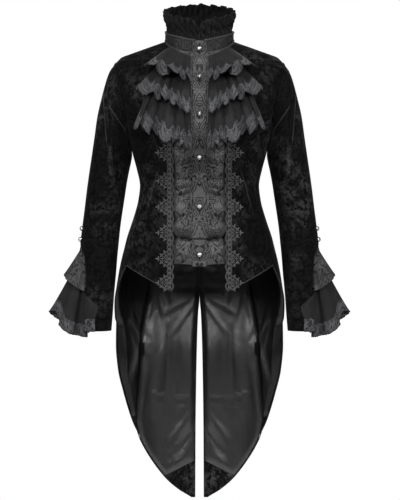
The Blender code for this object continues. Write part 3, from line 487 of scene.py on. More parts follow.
def angle_of(x, z, back):
    power = TORSO.at("back_power" if back else "front_power", z)
    share = np.clip(x / TORSO.at("half_width", z), 0, 1)
    turn = np.degrees(np.arcsin(share ** (power / 2)))
    return 180 - turn if back else turn


def unit(vectors):
    return vectors / np.maximum(np.linalg.norm(vectors, axis=-1, keepdims=True), 1e-9)


def outward(surface, p, q, step_p=0.5, step_q=0.5):
    """Unit normals of a surface of two values, turned away from the body's own axis."""
    across = surface(p + step_p, q) - surface(p - step_p, q)
    along = surface(p, q + step_q) - surface(p, q - step_q)
    normal = unit(np.cross(across, along))
    middle = surface(p, q) * (1, 1, 0)
    return np.where((normal * middle).sum(-1, keepdims=True) < 0, -normal, normal)


def armhole(turn):
    """Points of the armhole and the way its cloth is thick, by the angle from the front over the top."""
    turn = np.radians(turn)
    z = ARMHOLE_Z + ARMHOLE_HALF_HEIGHT * np.sin(turn)
    depth = np.where(np.cos(turn) > 0, ARMHOLE_FRONT, ARMHOLE_BACK)
    points = np.stack([ARMHOLE.at("x", z), -depth * np.cos(turn), z], axis=-1)
    thick = np.stack([np.full_like(turn, ARMHOLE_LEAN), -np.cos(turn), np.sin(turn)], axis=-1)
    return points, unit(thick)


def neckline(angle, column="seam_z", grow=0.0):
    """A ring round the neck, by the angle from the centre front, for the wearer's left or the whole way."""
    turn = np.radians(angle)
    z = NECK.at(column, np.abs((np.asarray(angle) + 180) % 360 - 180))
    return np.stack(
        [(NECK_HALF_WIDTH + grow) * np.sin(turn), -(NECK_HALF_DEPTH + grow) * np.cos(turn), z], axis=-1
    )


def blended(count, reach=8 * FINE):
    """How strongly each row follows its last one, falling off over a fixed number of them."""
    return np.clip(1 - np.arange(count)[::-1] / reach, 0, 1) ** 3


def match_edges(grid, left=None, right=None, top=None):
    """Shifts a grid so that its edges lie on the given rows of points, which seams share."""
    rows, columns = grid.shape[:2]
    u = np.linspace(0, 1, columns)[None, :, None]
    grid = grid.copy()
    if left is not None:
        grid += (1 - u) ** 3 * (left - grid[:, 0])[:, None]
    if right is not None:
        grid += u**3 * (right - grid[:, -1])[:, None]
    if top is not None:
        grid += blended(rows)[:, None, None] * (top - grid[-1])[None]
    return grid


def princess_seam(back):
    """The seam from the hem to the armhole that a front or back shares with its side panel."""
    table = BACK_PRINCESS if back else FRONT_PRINCESS
    end = armhole(BACK_PRINCESS_TURN if back else FRONT_PRINCESS_TURN)[0]
    hem = VENT_TOP if back else FRONT_HEM.at("z", FRONT_PRINCESS.at("x", -528))
    z = hem + (end[2] - hem) * BODY_ROWS
    if back:
        z = np.concatenate([np.linspace(TAIL_SEAM_BOTTOM, VENT_TOP, TAIL_ROWS)[:-1], z])
    x = table.at("x", z)
    points = face(x, z, back)
    points += blended(len(z))[:, None] * (end - points[-1])
    return x, z, points


def side_edge(z):
    """Angle round the body of the side seam and, below it, of the tail's front edge."""
    by_outline = angle_of(TAIL_OUTLINE.at("x", z), z, back=True)
    return np.where(z > -643, SIDE_SEAM.at("angle", z), by_outline)


def side_seam():
    """Heights and angles of the side seam, which shares its rows with the panels on both sides."""
    end = armhole(SIDE_SEAM_TURN)[0]
    z = SIDE_HEM + (end[2] - SIDE_HEM) * BODY_ROWS
    points = around(side_edge(z), z)
    points += blended(len(z))[:, None] * (end - points[-1])
    return z, points


def front_grid():
    """The velvet front, from the lace edge to the princess seam, and from the hem to the shoulder."""
    key = np.linspace(0, 5, 5 * FINE + 1)
    columns = np.interp(key, np.arange(6), FRONT_COLUMNS)
    seam_x, seam_z, seam = princess_seam(back=False)
    top, top_thick = armhole(ARM_TURNS["front"])
    low = len(seam_z) - 1
    outer_z = np.concatenate([seam_z[:-1], top[:, 2]])
    outer_x = np.concatenate([seam_x[:-1], top[:, 0]])
    inner_start = FRONT_HEM.at("z", VELVET_EDGE_X)
    lift = np.sin(np.linspace(0, math.pi / 2, len(top)))
    edge_z = inner_start + (STRAIGHT_EDGE_TOP - inner_start) * BODY_ROWS[:-1]
    inner_z = np.concatenate([edge_z, STRAIGHT_EDGE_TOP + (NECK_POINT_Z - STRAIGHT_EDGE_TOP) * lift])
    neck_angles = np.linspace(0, 90, 361)
    neck_points = neckline(neck_angles)
    on_neck = inner_z > np.interp(VELVET_EDGE_X, neck_points[:, 0], neck_points[:, 2])
    inner_angle = np.interp(inner_z, neck_points[:, 2], neck_angles)
    inner_x = np.where(on_neck, neckline(inner_angle)[:, 0], VELVET_EDGE_X)
    x = inner_x[:, None] + (outer_x - inner_x)[:, None] * columns
    z = inner_z[:, None] + (outer_z - inner_z)[:, None] * columns
    z[0] = FRONT_HEM.at("z", x[0])
    thick = outward(face, x, np.minimum(z, shoulder_line(x, FRONT_NECK_RISE) - 1))
    grid = face(x, z)
    inner = np.where(on_neck[:, None], neckline(inner_angle), grid[:, 0])
    grid = match_edges(grid, left=inner, right=np.concatenate([seam[:-1], top]))
    grid[-1, :, 1] = 0
    thick[low:, -1] = top_thick
    thick[-1, :-1] *= (1, 0, 1)
    return grid, unit(thick)


def side_front_grid():
    """The panel between the princess seam and the side seam, from the hem to the armhole."""
    top, top_thick = armhole(ARM_TURNS["side_front"][::-1])
    columns = np.linspace(0, 1, len(top))
    seam_x, seam_z, seam = princess_seam(back=False)
    side_z, side = side_seam()
    z = seam_z[:, None] + (side_z - seam_z)[:, None] * columns
    first = angle_of(seam_x, seam_z, back=False)
    angles = first[:, None] + (side_edge(side_z) - first)[:, None] * columns
    thick = outward(around, angles, z)
    grid = match_edges(around(angles, z), left=seam, right=side, top=top)
    thick[-1] = top_thick
    return grid, unit(thick)


def drape_tail(grid):
    """Soft upright folds of the hanging tail, by how squarely each place faces backwards."""
    x, y, z = np.moveaxis(grid, -1, 0)
    loose = np.clip((TAIL_FOLDS_FROM_Z - z) / 300, 0, 1) * np.clip((y - TAIL_FOLDS_FROM_Y) / 60, 0, 1)
    folds = 0
    for _, depth, width, lean, start in TAIL_FOLDS.rows:
        folds = folds + depth * np.sin(x / width + start + z * lean)
    return grid + (loose * folds)[..., None] * (0, 1, 0)


def back_grid():
    """The centre back, in one length from the collar and shoulder to the tail's tip."""
    seam_x, seam_z, seam = princess_seam(back=True)
    top, top_thick = armhole(ARM_TURNS["back"][::-1])
    key = np.linspace(0, 6, 6 * FINE + 1)[:-1]
    tip_outer, tip_inner = TAIL_TIP.at("outer_z", key), TAIL_TIP.at("inner_z", key)
    low = len(key) + len(seam_z) - 1
    lift = np.sin(np.linspace(0, math.pi / 2, len(top)))
    neck_z = NECK.at("seam_z", 180)
    outer_z = np.concatenate([tip_outer, seam_z[:-1], top[:, 2]])
    outer_x = np.concatenate([TAIL_OUTLINE.at("x", tip_outer), seam_x[:-1], top[:, 0]])
    inner_z = np.concatenate([tip_inner, seam_z[:-1] + 9 * np.clip((VENT_TOP - seam_z[:-1]) / 343, 0, 1)])
    inner_z = np.concatenate([inner_z, top[0, 2] + (neck_z - top[0, 2]) * lift])
    inner_x = np.where(inner_z < VENT_TOP, VENT.at("x", inner_z), 0)
    over = NECK_HALF_WIDTH * np.sin(np.linspace(0, math.pi / 2, 4 * FINE + 1))
    last_x = np.concatenate([over, np.linspace(NECK_HALF_WIDTH, SHOULDER_POINT[0], 3 * FINE + 1)[1:]])
    columns = np.linspace(0, 1, len(last_x))
    x = inner_x[:, None] + (outer_x - inner_x)[:, None] * columns
    z = inner_z[:, None] + (outer_z - inner_z)[:, None] * columns
    over_neck = last_x <= NECK_HALF_WIDTH + 1e-6
    neck_points = neckline(180 - np.degrees(np.arcsin(np.minimum(last_x / NECK_HALF_WIDTH, 1))))
    top_z = np.where(over_neck, neck_points[:, 2], shoulder_line(last_x, BACK_NECK_RISE))
    blend = np.concatenate([np.zeros(low), lift])[:, None]
    x += (last_x - x[-1]) * blend
    z += (top_z - z[-1]) * blend**2
    thick = outward(back_face, x, np.minimum(z, shoulder_line(x, BACK_NECK_RISE) - 1))
    grid = back_face(x, z)
    top_row = np.where(over_neck[:, None], neck_points, grid[-1] * (1, 0, 1))
    tip_edge = grid[: len(key), -1]
    grid = match_edges(grid, right=np.concatenate([tip_edge, seam[:-1], top]), top=top_row)
    thick[low:, -1] = top_thick
    thick[-1, 4 * FINE : -1] *= (1, 0, 1)
    thick[:, 0] *= (0, 1, 1)
    return drape_tail(grid), unit(thick)


def side_back_grid():
    """The side back, from the armhole down into the tail, where it tapers to the tail's edge."""
    top, top_thick = armhole(ARM_TURNS["side_back"])
    columns = np.linspace(0, 1, len(top))
    seam_x, seam_z, seam = princess_seam(back=True)
    side_z, side = side_seam()
    edge_z = np.linspace(TAIL_SEAM_BOTTOM, SIDE_HEM, TAIL_ROWS)[:-1]
    side_z = np.concatenate([edge_z, side_z])
    first = angle_of(seam_x, seam_z, back=True)
    last = np.minimum(side_edge(side_z), first - 1.5)
    side = np.concatenate([around(last[: len(edge_z)], edge_z), side])
    z = seam_z[:, None] + (side_z - seam_z)[:, None] * columns
    angles = first[:, None] + (last - first)[:, None] * columns
    thick = outward(around, angles, z)
    grid = match_edges(around(angles, z), left=seam, right=side, top=top)
    thick[-1] = top_thick
    return drape_tail(grid), unit(thick)


def lengths(grid, axis):
    """How far along each point of a grid lies from its first row or column, in the cloth."""
    steps = np.linalg.norm(np.diff(grid, axis=axis), axis=-1)
    start = np.zeros_like(np.take(steps, [0], axis=axis))
    return np.concatenate([start, np.cumsum(steps, axis=axis)], axis=axis)


def cloth_normals(grid, thick):
    """Unit normals of a grid of points, on the side that thick points to."""
    normal = unit(np.cross(np.gradient(grid, axis=1), np.gradient(grid, axis=0)))
    return np.where((normal * thick).sum(-1, keepdims=True) < 0, -normal, normal)


def creased(p, q, creases):
    """How far soft creases lift the cloth at places p and q. Each crease is a trough between two ridges,
    or the reverse: where it starts and ends, how deep it is and how wide."""
    lift = np.zeros_like(p)
    for start_p, start_q, end_p, end_q, depth, width in creases:
        run = np.array([end_p - start_p, end_q - start_q], float)
        t = ((p - start_p) * run[0] + (q - start_q) * run[1]) / (run @ run)
        t = np.clip(t, 0, 1)
        off = np.hypot(p - start_p - t * run[0], q - start_q - t * run[1]) / width
        lift += depth * np.sin(math.pi * t) ** 0.6 * (1 - off**2) * np.exp(-(off**2) / 1.4)
    return lift


def pressed_seams(grid, edges, sink=1.1, reach=5.0):
    """How far the cloth sinks towards the seams on its named edges."""
    sunk = np.zeros(grid.shape[:2])
    across, along = lengths(grid, 1), lengths(grid, 0)
    away = {
        "left": across,
        "right": across[:, -1:] - across,
        "bottom": along,
        "top": along[-1:] - along,
    }
    for edge in edges:
        sunk = np.minimum(sunk, -sink * np.exp(-((away[edge] / reach) ** 2)))
    return sunk


def piece_of(name, mesh, finish):
    """A mesh made into one of the coat's pieces, with its faces turned outwards."""
    shape = bmesh.new()
    shape.from_mesh(mesh)
    bmesh.ops.recalc_face_normals(shape, faces=shape.faces)
    shape.to_mesh(mesh)
    shape.free()
    mesh.shade_smooth()
    mesh.materials.append(finish)
    made = bpy.data.objects.new(name, mesh)
    bpy.context.scene.collection.objects.link(made)
    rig.ride(made, "root")
    return made


def hoop_faces(index):
    """Four-sided faces between closed rings of points, given by the points' numbers."""
    after = np.roll(index, -1, axis=1)
    return np.stack([index[:-1], after[:-1], after[1:], index[1:]], axis=-1).reshape(-1, 4).tolist()


def sewn_shell(name, outer, inner, finish, side=1, across=None, along=None):
    """A closed wall of cloth between two grids of points, with a map of its cloth in metres."""
    rows, columns = outer.shape[:2]
    across = lengths(outer, 1) if across is None else across
    along = lengths(outer, 0) if along is None else along
    count = rows * columns
    points = np.concatenate([outer.reshape(-1, 3), inner.reshape(-1, 3)]) * (side * MM, MM, MM)
    index = np.arange(count).reshape(rows, columns)
    corners = index[:-1, :-1], index[:-1, 1:], index[1:, 1:], index[1:, :-1]
    quads = np.stack(corners, axis=-1).reshape(-1, 4)
    rim = np.concatenate([index[0], index[1:, -1], index[-1, -2::-1], index[-2:0:-1, 0]])
    after = np.roll(rim, -1)
    wall = np.stack([after, rim, rim + count, after + count], axis=-1)
    faces = np.concatenate([quads, quads[:, ::-1] + count, wall])
    mesh = bpy.data.meshes.new(name)
    mesh.from_pydata(points.tolist(), [], faces.tolist())
    chart = np.stack([across.ravel(), along.ravel()], axis=-1) * MM
    cloth_map = mesh.uv_layers.new(name="cloth")
    corner = np.zeros(len(mesh.loops), np.int32)
    mesh.loops.foreach_get("vertex_index", corner)
    cloth_map.data.foreach_set("uv", chart[corner % count].ravel())
    made = piece_of(name, mesh, finish)
    mesh.set_sharp_from_angle(angle=math.radians(SHARP_ANGLE))
    return made


class Ink:
    """A number that varies over a cloth, worked out by the nodes of its material."""

    def __init__(self, tree, socket):
        self.tree = tree
        self.socket = socket

    def work(self, operation, *others, clamp=False):
        node = self.tree.nodes.new("ShaderNodeMath")
        node.operation = operation
        node.use_clamp = clamp
        for socket, value in zip(node.inputs, (self, *others)):
            if isinstance(value, Ink):
                self.tree.links.new(value.socket, socket)
            else:
                socket.default_value = value
        return Ink(self.tree, node.outputs[0])

    def __add__(self, other):
        return self.work("ADD", other)

    def __sub__(self, other):
        return self.work("SUBTRACT", other)

    def __mul__(self, other):
        return self.work("MULTIPLY", other)

    def __truediv__(self, other):
        return self.work("DIVIDE", other)

    def __abs__(self):
        return self.work("ABSOLUTE")

    def flipped(self):
        """One less this."""
        return (self * -1.0) + 1.0

    def sine(self, pitch=math.tau, phase=0.0):
        return (self * (math.tau / pitch) + phase).work("SINE")

    def over(self, other):
        return self.work("MAXIMUM", other)

    def capped(self):
        """This, kept between 0 and 1."""
        return self.work("MINIMUM", 1.0, clamp=True)

    def filled(self, soft=0.5):
        """1 where this is above 0 and 0 where it is below, with a soft edge."""
        return self.work("MULTIPLY_ADD", 1 / soft, 0.5, clamp=True)

    def line(self, width, soft=0.3):
        """1 along the curve where this is 0."""
        return (abs(self) * -1.0 + width / 2).filled(soft)


def parted(tree, socket):
    """The three numbers of a place or a colour."""
    parts = tree.nodes.new("ShaderNodeSeparateXYZ")
    tree.links.new(socket, parts.inputs[0])
    return [Ink(tree, output) for output in parts.outputs]


def paired(tree, x, y):
    """Two numbers as one place, for a pattern to read."""
    place = tree.nodes.new("ShaderNodeCombineXYZ")
    tree.links.new(x.socket, place.inputs[0])
    tree.links.new(y.socket, place.inputs[1])
    return place.outputs[0]


def cloth_places(tree):
    """The two lengths in the cloth, in millimetres, across and along it."""
    chart = tree.nodes.new("ShaderNodeUVMap")
    chart.uv_map = "cloth"
    x, y, _ = parted(tree, chart.outputs["UV"])
    return x * (1 / MM), y * (1 / MM)


def speckle(tree, scale, detail=3.0, stretch=(1, 1, 1), rough=0.55):
    """Noise fixed to the piece: scale is in grains a metre."""
    place = tree.nodes.new("ShaderNodeTexCoord")
    turn = tree.nodes.new("ShaderNodeMapping")
    turn.inputs["Scale"].default_value = stretch
    noise = tree.nodes.new("ShaderNodeTexNoise")
    noise.inputs["Scale"].default_value = scale
    noise.inputs["Detail"].default_value = detail
    noise.inputs["Roughness"].default_value = rough
    tree.links.new(place.outputs["Object"], turn.inputs["Vector"])
    tree.links.new(turn.outputs["Vector"], noise.inputs["Vector"])
    return Ink(tree, noise.outputs["Fac"])


def half_drop(x, y, width, height):
    """Places in one repeat of a pattern, from its middle; every second column is dropped by half."""
    column = (x / width).work("ROUND")
    odd = column - (column / 2).work("FLOOR") * 2
    y = y + odd * (height / 2)
    return x - column * width, y - (y / height).work("ROUND") * height


def turned(x, y, degrees, middle=(0, 0)):
    x, y = x - middle[0], y - middle[1]
    cosine, sine = math.cos(math.radians(degrees)), math.sin(math.radians(degrees))
    return x * cosine + y * sine, y * cosine - x * sine


def leaf(x, y, middle, degrees, long, wide):
    """A pointed leaf with a cut midrib."""
    x, y = turned(x, y, degrees, middle)
    inside = ((x * x) * (-1 / long**2) + 1.0) * wide - abs(y)
    return inside.filled(0.8) - (y.line(0.8, 0.5) * inside.filled(0.8)) * 0.6


def bloom(x, y, middle, radius, petals, turn=0.0):
    """A round flower: petals round a ringed eye."""
    x, y = x - middle[0], y - middle[1]
    away = (x * x + y * y).work("SQRT")
    angle = y.work("ARCTAN2", x)
    reach = (abs((angle * (petals / 2) + turn).work("COSINE")) * 0.4 + 0.6) * radius
    ring = (away - radius * 0.34).line(radius * 0.1, 0.4)
    vein = (away - reach * 0.72).line(radius * 0.07, 0.4)
    return (reach - away).filled(0.8) - ring * 0.8 - vein * 0.5


def new_cloth(name, roughness, sheen=0.0, sheen_roughness=0.4, sheen_tint=(1, 1, 1), shine=0.3):
    made = bpy.data.materials.new(name)
    made.use_nodes = True
    shader = made.node_tree.nodes["Principled BSDF"]
    shader.inputs["Roughness"].default_value = roughness
    shader.inputs["Sheen Weight"].default_value = sheen
    shader.inputs["Sheen Roughness"].default_value = sheen_roughness
    shader.inputs["Sheen Tint"].default_value = (*sheen_tint, 1)
    shader.inputs["Specular IOR Level"].default_value = shine
    return made, made.node_tree, shader


def dye(tree, shader, amount, dark, light):
    """Colours the cloth from dark where amount is 0 to light where it is 1."""
    ramp = tree.nodes.new("ShaderNodeMix")
    ramp.data_type = "RGBA"
    ramp.inputs["A"].default_value = (*dark, 1)
    ramp.inputs["B"].default_value = (*light, 1)
    tree.links.new(amount.socket, ramp.inputs["Factor"])
    tree.links.new(ramp.outputs["Result"], shader.inputs["Base Color"])


def emboss(tree, shader, height, depth):
    """Raises the cloth's face, depth in millimetres where height is 1."""
    bump = tree.nodes.new("ShaderNodeBump")
    bump.inputs["Strength"].default_value = 1.0
    bump.inputs["Distance"].default_value = depth * MM
    tree.links.new(height.socket, bump.inputs["Height"])
    tree.links.new(bump.outputs["Normal"], shader.inputs["Normal"])


def scattered(tree, x, y, pitch):
    """Places measured from the nearest of many scattered seeds, and that seed's own turn."""
    seeds = tree.nodes.new("ShaderNodeTexVoronoi")
    seeds.voronoi_dimensions = "2D"
    seeds.inputs["Scale"].default_value = 1 / pitch
    seeds.inputs["Randomness"].default_value = 0.8
    tree.links.new(paired(tree, x, y), seeds.inputs["Vector"])
    seed_x, seed_y, _ = parted(tree, seeds.outputs["Position"])
    turn = parted(tree, seeds.outputs["Color"])[0] * math.tau
    x, y = x - seed_x, y - seed_y
    cosine, sine = turn.work("COSINE"), turn.work("SINE")
    return x * cosine + y * sine, y * cosine - x * sine


def contours(tree, x, y, pitch, levels, thin):
    """Lines that wind like scrolls: the level curves of a smooth field that is fixed to the cloth."""
    field = tree.nodes.new("ShaderNodeTexNoise")
    field.inputs["Scale"].default_value = 1 / pitch
    field.inputs["Detail"].default_value = 0.4
    field.inputs["Distortion"].default_value = 0.9
    tree.links.new(paired(tree, x, y), field.inputs["Vector"])
    return ((Ink(tree, field.outputs["Fac"]) * levels).sine(1.0) - thin).filled(0.5)


SPRAY_REPEAT = (92, 128)
SPRIG_PITCH = 11
BLOSSOM_PITCH = 24
VELVET_SCROLL_PITCH = 30
VELVET_GROUND = (0.0012, 0.0012, 0.0013)
VELVET_FIGURE = (0.034, 0.034, 0.035)
# The leaves of a spray: its middle, its turn, its half length and its half width
LEAVES = (
    ((20, 24), 40, 12, 4.5),
    ((31, 10), -20, 12, 4.2),
    ((12, 38), 75, 12, 4.0),
    ((26, -12), 25, 11, 4.0),
    ((12, -26), 62, 13, 4.2),
    ((38, 44), -50, 9, 3.4),
    ((8, -50), 20, 10, 3.6),
)
# Painted highlight lines along the creases, where the folds would catch the light: from x, z to x, z and width
BODY_CREASE_HIGHLIGHTS = (
    (99, -318, 117, -380, 1.8),
    (92, -300, 110, -345, 1.4),
)
SLEEVE_CREASE_HIGHLIGHTS = (
    (204, -154, 167, -209, 1.9),
    (220, -124, 210, -235, 1.9),
    (203, -244, 201, -308, 8.0),
)
HIGHLIGHT_LINE_END = 12.0
NARROW_HIGHLIGHT_LINE = 4


def crease_highlight_lines(tree, lines):
    """Painted highlight lines along the creases, on the front half only: each from x, z to x, z, and its width."""
    spot = tree.nodes.new("ShaderNodeTexCoord")
    x, y, z = (number * (1 / MM) for number in parted(tree, spot.outputs["Object"]))
    x = abs(x)
    patchy = (speckle(tree, 210, 3.0) * 5.0 - 1.9).capped()
    crease_lines = None
    for x1, z1, x2, z2, width in lines:
        along_x, along_z = x2 - x1, z2 - z1
        long = math.hypot(along_x, along_z)
        aside = ((x - x1) * along_z - (z - z1) * along_x) / long
        run = ((x - x1) * along_x + (z - z1) * along_z) / long
        inside = abs(run - long / 2) * -1.0 + long / 2
        line = aside.line(width, width * 0.8) * inside.filled(HIGHLIGHT_LINE_END)
        if width > NARROW_HIGHLIGHT_LINE:
            line = line * patchy
        crease_lines = line if crease_lines is None else crease_lines.over(line)
    return crease_lines * (y * -1.0 - 8).filled(10.0)


def damask_velvet(name, creases, grade):
    """Black velvet whose pressed nap draws sprays of flowers and leaves, each a half drop from the next, with painted
    highlight lines along its creases.
    """
    made, tree, shader = new_cloth(name, 0.85, sheen=0.04, sheen_roughness=0.35, shine=0.06)
    plain_x, plain_y = cloth_places(tree)
    x, y = half_drop(plain_x, plain_y, *SPRAY_REPEAT)
    x = abs(x)
    spray = bloom(x, y, (0, 8), 15, 8)
    spray = spray.over(bloom(x, y, (30, -34), 9, 5))
    stem = (x - y.sine(64) * 5 - 16).line(1.6, 0.8) * (abs(y) * -1 + 52).filled(2)
    spray = spray.over(stem * 0.8)
    for middle, degrees, long, wide in LEAVES:
        spray = spray.over(leaf(x, y, middle, degrees, long, wide))
    leaf_x, leaf_y = scattered(tree, plain_x, plain_y, SPRIG_PITCH)
    sprig = leaf(leaf_x, leaf_y, (0, 0), 0, 5.6, 2.2).over(leaf(leaf_x, leaf_y, (-1, 2.6), 58, 3.6, 1.5))
    sprig = sprig.over(leaf(leaf_x, leaf_y, (-1, -2.6), -58, 3.6, 1.5))
    blossom_x, blossom_y = scattered(tree, plain_x, plain_y, BLOSSOM_PITCH)
    sprig = sprig.over(bloom(blossom_x, blossom_y, (0, 0), 7.5, 6))
    spray = spray.over(sprig * 0.85)
    scrolls = contours(tree, plain_x, plain_y, VELVET_SCROLL_PITCH, 6.0, 0.8)
    spray = spray * 0.8 + scrolls * 0.45
    worn = speckle(tree, 38, 4.0, rough=0.62)
    patches = speckle(tree, 9, 2.0)
    nap = speckle(tree, 1400, 2.0)
    seen = (worn * 5.0 - 2.0).capped()
    seen = seen * (patches * 6.0 - 2.6).capped()
    spray = spray * (seen * 0.86 + 0.14)
    # Painted highlight: lighter lines of the figure colour along the creases, on the front only
    crease_lines = crease_highlight_lines(tree, creases)
    shade = spray * 0.9 + nap * 0.06 + (worn * patches) * 0.1 + crease_lines * (nap + 0.3)
    dye(tree, shader, shade, VELVET_GROUND, tuple(part * grade for part in VELVET_FIGURE))
    emboss(tree, shader, spray * 0.7 + nap * 0.45, 0.35)
    roughness = spray * -0.3 + 0.85
    tree.links.new(roughness.socket, shader.inputs["Roughness"])
    return made


# The same velvet in three copies: the body's; the sleeves', dyed a fifth lighter; and the centre back's, dyed 1.76
# times as light as the body's, which is painted light on the back and the tips of its tails
damask = damask_velvet("damask_velvet", BODY_CREASE_HIGHLIGHTS, 1.25)
painted_light_back_damask = damask_velvet("back_velvet", BODY_CREASE_HIGHLIGHTS, 2.2)
sleeve_damask = damask_velvet("sleeve_velvet", SLEEVE_CREASE_HIGHLIGHTS, 1.5)

# Soft creases of the pressed body: from x, z to x, z on the left half, depth and width
BODY_CREASES = {
    "front": (
        (150, -150, 84, -205, -1.4, 9),
        (158, -196, 96, -236, -1.6, 8),
        (128, -252, 84, -292, -1.2, 7),
        (103, -322, 120, -378, 1.5, 7),
        (86, -330, 78, -392, -1.1, 8),
        (66, -352, 112, -364, -1.0, 6),
        (110, -430, 92, -500, 1.0, 10),
        (172, -120, 132, -62, -1.3, 10),
    ),
    "side_front": (
        (128, -300, 136, -372, -1.2, 8),
        (112, -338, 140, -330, -1.4, 6),
        (110, -352, 142, -356, -1.1, 6),
        (150, -220, 120, -246, -1.5, 8),
        (152, -420, 140, -492, 1.1, 9),
    ),
    "back": (
        (0, -318, 70, -330, -1.6, 7),
        (0, -338, 76, -344, -1.3, 7),
        (150, -150, 70, -196, -1.5, 10),
        (176, -110, 110, -70, -1.2, 9),
        (20, -420, 40, -540, 1.3, 12),
        (66, -430, 96, -560, -1.3, 11),
        (30, -640, 60, -860, 1.6, 16),
        (90, -620, 118, -840, -1.6, 15),
        (20, -900, 60, -1010, -1.4, 12),
    ),
    "side_back": (
        (90, -326, 136, -334, -1.6, 6),
        (92, -346, 138, -352, -1.3, 6),
        (150, -180, 120, -240, -1.5, 9),
        (140, -440, 165, -600, -1.5, 12),
        (160, -620, 170, -780, 1.6, 13),
        (176, -660, 182, -760, -1.4, 9),
    ),
}
SEAM_EDGES = {
    "front": ("right", "top"),
    "side_front": ("left", "right", "top"),
    "back": ("right", "top"),
    "side_back": ("left", "top"),
}


def trimmed(grid, gap=SEAM_GAP / 2, left=None, right=None):
    """The grid with its four edges drawn in, so that a seam has a gap."""
    grid = grid.copy()
    for edge, inner in ((0, 1), (-1, -2)):
        grid[edge] += unit(grid[inner] - grid[edge]) * gap
    for edge, inner, own in ((0, 1, left), (-1, -2, right)):
        own = np.broadcast_to(gap if own is None else own, len(grid))[:, None]
        grid[:, edge] += unit(grid[:, inner] - grid[:, edge]) * own
    return grid


def near(value, middle, width):
    """1 where a value is at its middle, falling off smoothly over a width."""
    return np.exp(-(((value - middle) / width) ** 2))


def armpit(z, away, width=ARMPIT_WIDTH):
    """How far the cloth swells below the arm, by its height and how far it lies from the seam there."""
    return ARMPIT_SWELL * near(z, ARMPIT_Z, ARMPIT_HALF_HEIGHT) * near(away, 0, width)


def eased_shoulder(points):
    """The cloth near the shoulder's point, eased down so that its corner is round."""
    beside = near(points[..., 0], SHOULDER_POINT[0], SHOULDER_EASE_ACROSS)
    level = near(points[..., 2], SHOULDER_POINT[1], SHOULDER_EASE_UP)
    drop = SHOULDER_EASE * beside * level
    return points - drop[..., None] * (0.6, 0, 1)


def as_cut(grid, allowance=SEAM_ALLOWANCE):
    """What the piece was cut to before it was sewn: its width and length, and its area, in metres."""
    width = lengths(grid, 1)[:, -1].max() + 2 * allowance
    length = lengths(grid, 0)[-1].max() + 2 * allowance
    corners = grid[1:, 1:] - grid[:-1, :-1], grid[1:, :-1] - grid[:-1, 1:]
    area = np.linalg.norm(np.cross(*corners), axis=-1).sum() / 2
    around_it = 2 * (np.mean(lengths(grid, 1)[:, -1]) + np.mean(lengths(grid, 0)[-1]))
    area = min(area + around_it * allowance, width * length)
    return {"flat": (width * MM, length * MM), "area": area * MM * MM}


def tapered_end(grid):
    """The side back with its lower end narrowed, so that its edge runs into the centre back's."""
    narrow = 1 - END_TAPER * near(grid[:, :1, 2:], TAIL_SEAM_BOTTOM, END_TAPER_LENGTH)
    return grid[:, :1] + (grid - grid[:, :1]) * narrow


panels = {
    "front": front_grid(),
    "side_front": side_front_grid(),
    "back": back_grid(),
    "side_back": side_back_grid(),
}
panels["side_back"] = tapered_end(panels["side_back"][0]), panels["side_back"][1]
for panel_name, (grid, thick) in panels.items():
    normal = cloth_normals(grid, thick)
    lift = creased(np.abs(grid[..., 0]), grid[..., 2], BODY_CREASES[panel_name])
    lift = lift + pressed_seams(grid, SEAM_EDGES[panel_name])
    if panel_name.startswith("side"):
        from_side = lengths(grid, 1)[:, -1:] - lengths(grid, 1)
        lift = lift + armpit(grid[..., 2], from_side)
    closed = np.where(grid[:, 0, 2] < VENT_TOP - 1, SEAM_GAP / 2, 0.0)
    outer = trimmed(grid, left=closed if panel_name == "back" else None) + normal * lift[..., None]
    outer = eased_shoulder(outer)
    inner = outer - thick * VELVET
    # The centre back takes the lighter copy of the velvet: painted light
    finish = painted_light_back_damask if panel_name == "back" else damask
    across = lengths(grid, 1) + CUT_FROM[panel_name]
    for side, sign in SIDES.items():
        piece = sewn_shell(f"velvet_{panel_name}_{side}", outer, inner, finish, sign, across)
        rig.replaces(piece, f"{panel_name}_{side}")
        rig.slot(piece, "velvet")
        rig.sheet(piece, held="hung", rests_on=["collar_band"], **as_cut(grid))


# Satin lining of the tails, which shows from in front between the open fronts.
# Black satin, felled to the velvet a little inside its edges; it is cut longer than the velvet, so it
# billows and wrinkles between its seams, and a row of pick stitches holds it along the vent.

SATIN = 1.0
SATIN_IOR = 1.62
LAYER_GAP = 0.9
TURN_BACK = 2.5
FACING_ROWS = 4
LINING_ROWS_ABOVE_VENT = 3
CAD_TAIL_ROWS = 10
LINING_BILLOW = 16.0
LINING_BILLOW_Z = -735
LINING_BILLOW_HALF_HEIGHT = 120
LINING_LOOSE = 2.5
LINING_HELD = 9


def black_satin(name, shine):
    made, tree, shader = new_cloth(name, 0.36, shine=shine)
    shader.inputs["IOR"].default_value = SATIN_IOR
    x, y = cloth_places(tree)
    weave = (x + y * 0.2).sine(0.9) * 0.5 + y.sine(1.1) * 0.2
    pulled = speckle(tree, 24, 4.0, stretch=(1, 1, 0.45), rough=0.65)
    shade = pulled * 0.8
    dye(tree, shader, shade, (0.001, 0.001, 0.001), (0.004, 0.004, 0.0041))
    emboss(tree, shader, weave * 0.03 + pulled, 2.4)
    return made


satin = black_satin("black_satin", 1.0)
# Painted shade: the side lining takes a copy of the satin with under half its shine, so that its reflections are dimmer
# where it lies in shade
dimmed_side_satin = black_satin("worn_satin", 0.45)

